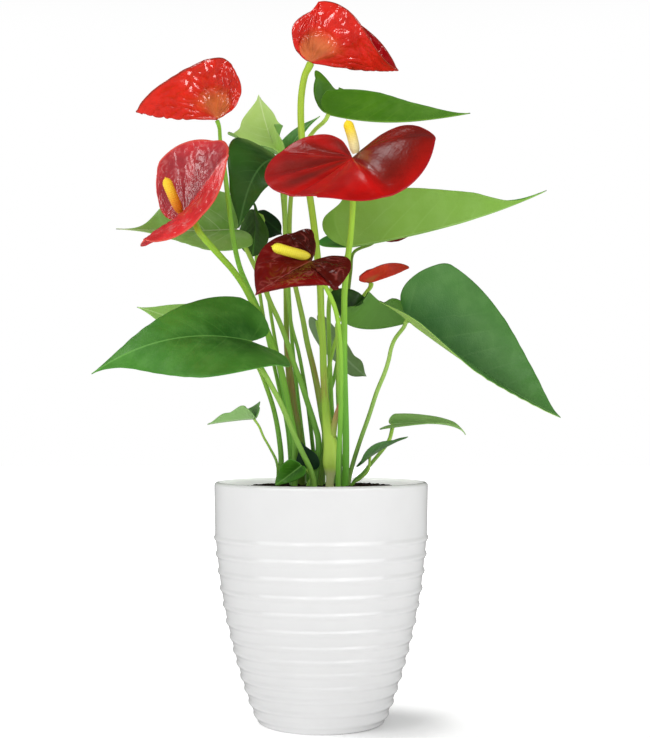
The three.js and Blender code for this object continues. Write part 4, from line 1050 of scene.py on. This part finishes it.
def stem_material(name, top, low, stain=None, stain_from=0.0, stain_to=0.0):
    """A fleshy stem, finely streaked along its length, with a stained stretch if one is given."""
    n = Paint(name)
    along = n.number("along")
    turn = n.number("round")
    base = n.mix(n.ramp(along, 0.25, 0.95), colour(low), colour(top))
    streak = n.noise(n.vector(n.times(turn, 3.0), n.times(along, 14.0)), 1.0, 3, 0.6)
    base = n.darker(n.ramp(streak, 0.35, 0.75, 0.0, 0.35), base, 0.5, (0.02, 0.05, 0.0))
    crown = n.number("crown")
    base = n.mix(n.ramp(crown, 0.05, 0.55), base, colour("b8d858"))
    base = n.mix(n.ramp(crown, 0.76, 0.86), base, colour("c4cc8c"))
    pinkish = n.mix(n.ramp(along, 0.3, 0.9), colour("9cb44c"), colour("b88464"))
    base = n.mix(n.number("sheath"), base, pinkish)
    if stain:
        rise = n.ramp(along, stain_from, stain_from + 0.04)
        fall = n.ramp(along, stain_to - 0.06, stain_to, 1.0, 0.0)
        amount = n.times(n.times(rise, fall), n.ramp(streak, 0.35, 0.65, 0.1, 0.75))
        base = n.mix(amount, base, colour(stain))
    ridges = n.noise(n.vector(n.times(turn, 6.0), n.times(along, 5.0)), 1.0)
    rough = n.ramp(streak, 0.3, 0.7, 0.3, 0.42)
    return n.finish(base, rough, specular=0.3, normal=n.bump(ridges, 0.0003, 0.4))


def spadix_material(name, tip, low):
    """A beaded spike, with painted shade in the gaps between the beads."""
    n = Paint(name)
    base = n.mix(n.ramp(n.number("along"), 0.15, 0.85), colour(low), colour(tip))
    # Painted shade: the gaps between the beads are darkened
    gap = n.math("SUBTRACT", 1.0, n.ramp(n.number("bead"), 0.1, 0.8))
    base = n.darker(n.times(gap, 0.35), base, 0.5, (0.4, 0.2, 0.01))
    normal = n.bump(n.noise(n.place(), 900), 0.0001, 0.5)
    return n.finish(base, rough=0.5, specular=0.35, normal=normal)


def glaze_material():
    """White glaze, lighter on the wall inside, where light comes back from all round."""
    n = Paint("pot_glaze")
    place = n.place()
    inside = n.number("inside")
    cloud = n.noise(place, 30, 4, 0.6)
    base = n.mix(n.ramp(cloud, 0.2, 0.8), colour("e2e2e2"), colour("dedede"))
    base = n.mix(inside, base, colour("f8f8f8"))
    n.glow(n.times(inside, INSIDE_GLOW))
    speck = n.ramp(n.noise(place, 900, 1), 0.72, 0.78)
    base = n.mix(n.times(speck, 0.05), base, colour("c8c6c2"))
    normal = n.bump(n.noise(place, 70), 0.00004, 0.3)
    rough = n.ramp(cloud, 0.2, 0.8, 0.15, 0.18)
    return n.finish(base, rough, specular=0.4, normal=normal)


def soil_material():
    n = Paint("soil")
    place = n.place()
    grain = n.noise(place, 420, 4, 0.65)
    base = n.mix(n.ramp(grain, 0.35, 0.7), colour("140d09"), colour("3a2a1e"))
    base = n.mix(n.ramp(n.noise(place, 60), 0.45, 0.7, 0.0, 0.5), base, colour("1c120d"))
    return n.finish(base, rough=0.95, specular=0.2, normal=n.bump(grain, 0.0008, 0.9))


def floor_material():
    """A white table that glows more and more away from the pot's right foot, where a small shadow stays."""
    n = Paint("pale_floor")
    place = n.place()
    base = n.mix(n.ramp(n.noise(place, 3), 0.3, 0.7), colour("fafafa"), colour("f6f6f6"))
    away = n.node("VectorMath", {0: place, 1: SHADOW_PLACE}, "Value", operation="DISTANCE")
    n.glow(n.math("ADD", n.ramp(away, *NEAR_GLOW), n.ramp(away, *FAR_GLOW)))
    return n.finish(base, rough=0.9, specular=0.05)


# Relief and shading of the blades. Each function reads the numbers on a blade's points.


def leaf_relief(amount, seed):
    """Leaf surface: softly puffed between the side veins, and a slightly wavy edge."""

    def relief(data):
        u, across, rim = data["along"], data["off_rib"], data["rim"]
        puff = np.sin(np.pi * (data["vein"] % 1)) * ease(across, 1.5, 9) * ease(rim, 0.05, 0.4)
        wave = ripple(u * 1.3 + data["side"] * 3, across / 30, seed) * rim**2
        return amount * 0.5 * puff + 0.5 * amount * wave

    return relief


def spathe_relief(panels, crinkle, cell, seed, ridges=((), ()), crease=0.0):
    """Bloom surface, raised by ridges and panels that fan out from the joint, and finely crinkled.

    ridges holds, for each half, (angle from the midrib, width in degrees, height in mm). panels is the height
    of the soft panels between them, crinkle that of the small cells, cell their width, and crease the depth of
    the fold that runs round the joint.
    """

    def relief(data):
        turn, reach, rim, side = data["turn"], data["reach"], data["rim"], data["side"]
        sway = turn + 5 * np.sin(reach * 0.16 + seed) + 2.5 * np.sin(reach * 0.41 + 2 * seed)
        lift = panels * np.abs(np.sin(np.radians(sway) * 5.5)) ** 0.8 * ease(reach, 2, 16)
        for half in (0, 1):
            for angle, width, height in ridges[half]:
                bump = height * np.exp(-(((turn - angle) / width) ** 2)) * ease(reach, 1, 12)
                lift = lift + np.where(side == half, bump, 0) * (1 - 0.6 * ease(rim, 0.85, 1.0))
        fold = np.exp(-(((rim - 0.5 - 0.03 * np.sin(sway / 9)) / 0.035) ** 2)) * ease(turn, 35, 60)
        lift = lift - crease * fold
        flat_x = reach * np.cos(np.radians(turn))
        flat_y = reach * np.sin(np.radians(turn)) + 60 * side
        warp = 1.6 * np.sin(flat_x * 0.31 + 1.7 * np.sin(flat_y * 0.22 + seed) + seed)
        warp = warp + 1.3 * np.sin(flat_y * 0.37 + 1.9 * np.sin(flat_x * 0.17) + 2 * seed)
        ahead = (reach + warp) / (1.25 * cell)
        aside = (np.radians(turn) * 24 + 60 * side - warp) / (0.6 * cell)
        cells = pillows(ahead, aside, seed)
        middle = ease(rim, 0.12, 0.5) * (1 - 0.7 * ease(rim, 0.9, 1.0))
        breaks = np.sin(flat_x * 0.42 + 2 * np.sin(flat_y * 0.29 + seed)) + np.sin(flat_y * 0.5 - seed)
        # The walls between the cells: the material paints paler veins there, partly as a painted highlight
        data["net"] = np.exp(-((cells / 0.24) ** 2)) * middle * ease(breaks, -0.4, 0.9)
        wave = ripple(data["along"] * 1.6 + side * 3, data["off_rib"] / 32, seed) * rim**2
        return lift + crinkle * cells**0.7 * middle + 0.35 * wave

    return relief


def leaf_shade(data):
    """Deeper green round the joint."""
    return 1 - ease(data["rim"], 0.2, 0.8)


def cup_shade(data):
    """Orange-brown inside the crease round the joint, red towards the tip: 1 at the joint."""
    return (1 - ease(data["rim"], 0.3, 0.62)) * ease(data["turn"], 15, 55)


def front_shade(data):
    """Maroon lobes on both sides of a bright middle panel: 1 on the lobes."""
    turn, rim = data["turn"], data["rim"]
    right = ease(turn, 44, 56) * (1 - 0.75 * ease(rim, 0.7, 1.0) * (1 - ease(turn, 60, 110)))
    left = ease(turn, 16, 34) * (0.62 + 0.3 * np.sin(np.radians(turn) * 11)) * (1 - 0.6 * ease(rim, 0.7, 1.0))
    return np.where(data["side"] == 0, right, left)


def left_shade(data):
    """Dusky inside the wide half, bright coral on the narrow one and along the rim."""
    dusk = 0.2 * np.sin(data["turn"] / 9) * ease(data["rim"], 0.2, 0.5)
    wide = 0.95 - 0.45 * ease(data["rim"], 0.75, 1.0) + dusk
    narrow = 0.55 * (1 - ease(data["rim"], 0.15, 0.6))
    return np.where(data["side"] == 0, wide, narrow)


def dark_shade(data):
    """Nearly black on the lobe behind the spike, deep maroon elsewhere, red towards the tip's lower edge."""
    low = ease(data["rim"], 0.35, 1.0) * (1 - ease(data["turn"], 45, 100))
    behind = 0.55 + 0.45 * ease(data["turn"], 60, 95)
    return np.where(data["side"] == 0, 0.85 - 0.75 * low, behind - 0.15 * low)


# Looks of the blooms: two colours of the upper side and two of the underside, where "shade" is 0 and where it
# is 1, the colours of the vein net, paler partly as a painted highlight on its crinkles, and of the edge, then
# how strong the net, how rough and how shiny it all is
SPATHE_LOOKS = {
    "upper_left": ("b3121a", "8a0e14", "dc2a1c", "dc6c38", "e8503c", "8a3020", 0.1, 0.15, 0.5),
    "top": ("b3121a", "8a0e14", "dc261a", "d87040", "e8503c", "8a3020", 0.1, 0.15, 0.5),
    "left": ("dc3032", "a4343a", "e8303a", "e02c24", "dc9490", "d85848", 0.35, 0.24, 0.14),
    "front": ("c40804", "7c180e", "b8141a", "8a1018", "a83028", "a0141c", 0.08, 0.22, 0.36),
    "dark": ("8c1010", "441810", "a01018", "5a0c10", "b46058", "5c1818", 0.45, 0.19, 0.27),
    "small": ("e43028", "cc3c2c", "ec4030", "d86838", "f07050", "a82820", 0.1, 0.2, 0.35),
    "back": ("5a1014", "380a0c", "6a1418", "400c10", "8a3038", "400c10", 0.1, 0.25, 0.3),
}
SPATHE_SHADES = {"left": left_shade, "front": front_shade, "dark": dark_shade}

# Relief of the blooms. The two upper ones are seen from outside, so their ridges point to the underside.
SPATHE_RELIEFS = {
    "upper_left": dict(
        ridges=(
            ((104, 8, -1.8), (76, 7, -1.5), (35, 8, -1.6), (125, 7, -0.8)),
            ((104, 8, -1.2), (50, 9, -1.0)),
        ),
        panels=-0.8, crinkle=-1.1, cell=7.5, crease=-1.0,
    ),
    "top": dict(
        ridges=(
            ((104, 8, -1.2), (50, 9, -1.0)),
            ((97, 8, -1.8), (72, 7, -1.5), (37, 8, -1.6), (125, 7, -0.8)),
        ),
        panels=-0.7, crinkle=-0.9, cell=7.5, crease=-1.0,
    ),
    "left": dict(
        ridges=(((66, 6, 1.0), (100, 8, 0.6), (30, 8, 0.6)), ((40, 8, 0.5),)),
        panels=0.4, crinkle=0.65, cell=4.6,
    ),
    "front": dict(
        ridges=(
            ((50, 5, -1.3), (42, 4, 0.6), (88, 15, 1.6), (66, 7, 0.3), (118, 8, 0.4), (19, 5, -0.25)),
            ((21, 4, -1.2), (55, 6, 0.9), (84, 7, 0.9), (108, 7, 0.8), (69, 4, -0.6), (96, 4, -0.6)),
        ),
        panels=0.1, crinkle=0.08, cell=6.0,
    ),
    "dark": dict(
        ridges=(((112, 7, 0.8), (92, 6, 0.6), (60, 8, -0.6)), ((30, 6, 0.7), (62, 7, 0.6), (100, 8, 0.6))),
        panels=0.3, crinkle=0.5, cell=5.4,
    ),
    "small": dict(panels=-0.15, crinkle=-0.15, cell=3.5),
    "back": dict(panels=-0.2, crinkle=-0.2, cell=4.0),
}

# Looks of the leaves: two colours of the upper side, where "shade" is 0 and where it is 1, the colours of the
# underside and of the veins, and, where a leaf has its own, how strong its side veins and its midrib are
LEAF_LOOKS = {
    "left_big": ("44832a", "2a621c", "6fa552", "7fbf5c", 0.1, 0.45),
    "left_tip": ("8fc05e", "7cb050", "98c468", "b8dc90"),
    "right_big": ("4a7f38", "487c40", "a9cf63", "78a860", 0.12),
    "right_shaded": ("1c4408", "16380a", "5e8c3a", "6a9a48"),
    "right_pale": ("3f8f2c", "2c6e20", "7caa40", "98c468", 0.18),
    "upper_right": ("427a0c", "2f640a", "467a10", "7cac3c", 0.15),
    "narrow": ("4a8a34", "34702a", "6fae48", "98c874"),
    "upright_pale": ("7cb050", "5c9a3c", "b8dc78", "dcf2b4"),
    "upper_dark": ("2c5a14", "1a400c", "4a8a2c", "4f7c3c"),
    "mid_olive": ("2a4a0c", "1e3c08", "3c6418", "4c7a2c"),
    "mid_dark": ("0c280c", "081c08", "143414", "1f4420"),
    "far_left": ("84b454", "74a648", "b0c88c", "c8dcac"),
    "low_grey": ("54704c", "42603c", "6c8858", "90a882"),
    "low_left": ("6c9c54", "54843c", "8cb86c", "a8c890"),
    "low_right": ("88b464", "6c9c4c", "94c070", "b8d898"),
    "low_right_dark": ("34622c", "224c20", "4f7f40", "6f9c60"),
    "base_front": ("3c7818", "2c6010", "549038", "78b050"),
    "base_dark": ("12301a", "0c2412", "1c4020", "345838"),
}

# Looks of the stems: colours at the top and low down, and, where one is stained, the stain's colour and stretch
STEM_LOOKS = {
    "upper_left": ("8cc63f", "6fae3a"),
    "top": ("a8c83c", "98c044", "9a7a44", 0.22, 0.32),
    "left": ("9ccc3c", "74ac3c"),
    "front": ("a4d03c", "6cb03a"),
    "dark": ("a0d040", "78b83c"),
    "small": ("a8d04c", "6ca03c"),
    "back": ("7a9a3c", "6ca03c"),
}
STALK_LOOKS = {
    "upright_pale": ("a8c850", "7a9a3c", "a07050", 0.2, 0.5),
    "upper_right": ("b4d458", "86b048", "8a6a38", 0.22, 0.4),
    "right_big": ("acd068", "8cb858"),
    "left_big": ("a0c858", "7cac44"),
}
PLAIN_STALK = ("a4cc54", "6ca43c")

# Pieces


def dress(piece, node):
    """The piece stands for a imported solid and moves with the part."""
    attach(piece, "root")
    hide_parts(node)


def add_bloom(name):
    material = spathe_material("spathe_" + name, *SPATHE_LOOKS[name])
    grid = SMALL_BLOOM_GRID if name in SMALL_BLOOMS else BLOOM_GRID
    relief = spathe_relief(seed=len(name), **SPATHE_RELIEFS[name])
    shade = SPATHE_SHADES.get(name, cup_shade)
    points, faces, data = blade_body(SPATHES[name], BLOOM_TISSUE, grid, relief, shade)
    piece = mesh_object("look_spathe_" + name, points, faces, [material], data)
    dress(piece, "spathe_" + name)
    add_flower_stem(name)
    if name in SPADICES:
        add_spadix(name)


def stem_path(stem):
    """The stem rises straight out of the soil and then takes its own way."""
    return [(*stem.foot, height) for height in STEM_UPRIGHT] + stem.path


def stem_swell(joint_end, amount):
    """A stem thickens a little where its head sits."""

    def extra(along, angle):
        return amount * ease(along, joint_end, 1.0) + 0.04 * np.sin(5 * angle + 9 * along)

    return extra


def add_flower_stem(name):
    stem = FLOWER_STEMS[name]
    material = stem_material("stem_" + name, *STEM_LOOKS[name])
    if name == "top":
        points, faces, data = crown_stem(stem)
    else:
        points, faces, data = tube(stem_path(stem), stem.radii, STEM_GRID, stem_swell(*FLOWER_SWELL))
    piece = mesh_object("look_stem_" + name, points, faces, [material], data)
    dress(piece, "stem_" + name)


def crown_stem(stem):
    """The flower stem that rises from the crown: a swelling above the soil, and a pointed sheath beside it."""
    path = stem_path(stem)
    rings = CROWN_GRID[1]
    heights = smooth_points(path, rings)[:, 2]
    wide = np.interp(heights, *zip(*CROWN_SHAPE))
    softened = np.convolve(np.pad(wide, 2, "edge"), np.ones(5) / 5, "valid")
    swelling = np.maximum(softened - spread(stem.radii, rings + 1), 0)
    plain_swell = stem_swell(*FLOWER_SWELL)

    def extra(along, angle):
        return np.interp(along, np.linspace(0, 1, rings + 1), swelling) + plain_swell(along, angle)

    grown = tube(path, stem.radii, CROWN_GRID, extra)
    low, high = CROWN_REACH
    grown[2]["crown"] = np.clip((high - grown[0][:, 2]) / (high - low), 0, 1)
    sheath = tube(SHEATH_PATH, SHEATH_RADII, SHEATH_GRID)
    sheath[2]["sheath"] = np.ones(len(sheath[0]))
    return joined(grown, sheath)


def add_spadix(name):
    """A spike set with beads in two crossing spirals."""
    spike = SPADICES[name]
    fat = spike.radii[-1]

    def bead(along, angle):
        """The beads' swell, from -1 between them to 1 on them."""
        forward = np.cos(BEADS_ROUND * angle + BEAD_TURNS * along)
        return forward * np.cos(BEADS_ROUND * angle - BEAD_TURNS * along)

    def beads(along, angle):
        return BEAD_HEIGHT * fat * bead(along, angle) * ease(along, 0, 0.08) * (1 - ease(along, 0.9, 1.0))

    radii = spike.radii + 6 * (fat,)
    points, faces, data = tube(spike.path, radii, SPIKE_GRID, beads, SPIKE_DOME)
    data["bead"] = 0.5 + 0.5 * bead(data["along"], data["round"])
    material = spadix_material("spadix_" + name, spike.tip, spike.low)
    piece = mesh_object("look_spadix_" + name, points, faces, [material], data)
    dress(piece, "spadix_" + name)


def add_leaf(name):
    """A blade grown together with its own stem."""
    big = name in BIG_LEAVES
    tissue = leaf_material("leaf_" + name, *LEAF_LOOKS[name])
    skin = stem_material("stalk_" + name, *STALK_LOOKS.get(name, PLAIN_STALK))
    relief = leaf_relief(BIG_LEAF_PUFF if big else LEAF_PUFF, len(name) * 7 + ord(name[0]))
    blade = blade_body(LEAVES[name], LEAF_TISSUE, BIG_LEAF_GRID if big else LEAF_GRID, relief, leaf_shade)
    stem = LEAF_STEMS[name]
    joint_end, amount = LEAF_SWELL
    stalk = tube(stem_path(stem), stem.radii, STALK_GRID, stem_swell(joint_end, amount * stem.radii[-1]))
    points, faces, data = joined(blade, stalk)
    which = [0] * len(blade[1]) + [1] * len(stalk[1])
    piece = mesh_object("look_leaf_" + name, points, faces, [tissue, skin], data, which)
    dress(piece, "leaf_" + name)


def pot_radius(z):
    return float(np.interp(z, *zip(*POT_BODY)))


def ring_swell(z):
    """How far the raised rings stand out at this height."""
    near = [z - ring for ring in RINGS if abs(z - ring) < RING_HALF]
    return sum(RING_PROUD * math.cos(math.pi * off / (2 * RING_HALF)) ** 2 for off in near)


def lip_quarter(centre, radius, start):
    """A quarter turn of the rounded lip, round a middle that is so far from the axis."""
    angles = np.linspace(start, start + math.pi / 2, 6)
    return [(centre + radius * math.cos(a), POT_HEIGHT - radius + radius * math.sin(a)) for a in angles]


def pot_profile():
    """Foot, ribbed outside, rounded lip and smooth inside, down to the floor of the pot."""
    foot = pot_radius(0)
    profile = [(0, 0), (foot - 3, 0), (foot - 1, 0), (foot - 0.3, 0.3)]
    for z in np.arange(FOOT_EDGE, POT_HEIGHT - LIP_OUTSIDE, PROFILE_STEP):
        profile.append((pot_radius(z) + ring_swell(z), z))
    profile += lip_quarter(POT_RIM_RADIUS - LIP_OUTSIDE, LIP_OUTSIDE, 0)
    profile += lip_quarter(POT_RIM_RADIUS - POT_WALL + LIP_INSIDE, LIP_INSIDE, math.pi / 2)
    profile += [(pot_radius(z) - POT_WALL, z) for z in np.linspace(132, POT_FLOOR + 3, 16)]
    return profile + [(pot_radius(POT_FLOOR) - POT_WALL - 3, POT_FLOOR), (0, POT_FLOOR)]


def add_pot():
    points, faces = turned(pot_profile(), POT_SIDES)
    inside = np.array([math.hypot(x, y) < pot_radius(z) - POT_WALL / 2 for x, y, z in points], float)
    piece = mesh_object("look_pot", points, faces, [glaze_material()], {"inside": inside})
    dress(piece, "pot")


def crumb(rng, place, size):
    """Points of a squashed, uneven lump of soil, ring by ring from its top to its foot."""
    rows, sides = CRUMB_GRID
    bumps = rng.uniform(0.75, 1.2, (rows + 1, sides))
    bumps[[0, -1]] = 1
    stretch = rng.uniform(0.7, 1.3, 3) * size
    polar = np.pi * np.arange(rows + 1)[:, None] / rows
    angle = 2 * np.pi * np.arange(sides)[None, :] / sides
    upward = 0.7 * np.cos(polar) + 0 * angle
    way = np.stack([np.sin(polar) * np.cos(angle), np.sin(polar) * np.sin(angle), upward], -1)
    return (np.array(place) + way * bumps[..., None] * stretch).reshape(-1, 3)


def soil_heap(share):
    """How far the soil has sunk from its middle, at this share of the way to the pot's wall."""
    return SOIL_HEAP * ease(share, *SOIL_SLOPE)


def add_soil():
    """The soil's body with an uneven top, and loose crumbs sunk into it."""
    rng = np.random.default_rng(SOIL_SEED)
    inner = pot_radius(SOIL_TOP) - POT_WALL - SOIL_GAP
    share = np.arange(SOIL_RINGS + 1)[:, None] / SOIL_RINGS
    angle = 2 * np.pi * np.arange(SOIL_SIDES)[None, :] / SOIL_SIDES
    x, y = inner * share * np.cos(angle), inner * share * np.sin(angle)
    lumps = 0.9 * ripple(x * 0.12, y * 0.12, 5) + 0.5 * ripple(x * 0.5, y * 0.5, 6)
    height = SOIL_TOP + SOIL_LUMP - soil_heap(share) + np.minimum(lumps, SOIL_LUMP)
    top = np.stack([x, y, height], -1)
    below = top[-1] * (1, 1, 0) + (0, 0, SOIL_TOP - SOIL_DEPTH)
    points = list(top.reshape(-1, 3)) + list(below)
    underside = range(len(points) - SOIL_SIDES, len(points))
    faces = ring_faces(SOIL_RINGS + 1, SOIL_SIDES) + [list(reversed(underside))]
    for _ in range(CRUMBS):
        r, turn = inner * CRUMB_SPREAD * math.sqrt(rng.uniform()), rng.uniform(0, 2 * math.pi)
        size = rng.uniform(*CRUMB_SIZES)
        rest = SOIL_TOP + CRUMB_LEVEL - soil_heap(r / inner)
        faces += ring_faces(*CRUMB_GRID, len(points))
        points += list(crumb(rng, (r * math.cos(turn), r * math.sin(turn), rest), size))
    piece = mesh_object("look_soil", points, faces, [soil_material()])
    dress(piece, "soil")


def add_floor():
    corners = [(x, y, 0) for x, y in ((-1, -1), (1, -1), (1, 1), (-1, 1))]
    piece = mesh_object("floor", np.array(corners) * FLOOR_HALF, [[0, 1, 2, 3]], [floor_material()])
    piece.visible_glossy = False


add_camera()
add_lights()
add_floor()
for bloom in SPATHES:
    add_bloom(bloom)
for leaf in LEAVES:
    add_leaf(leaf)
add_pot()
add_soil()
share_out_shine()
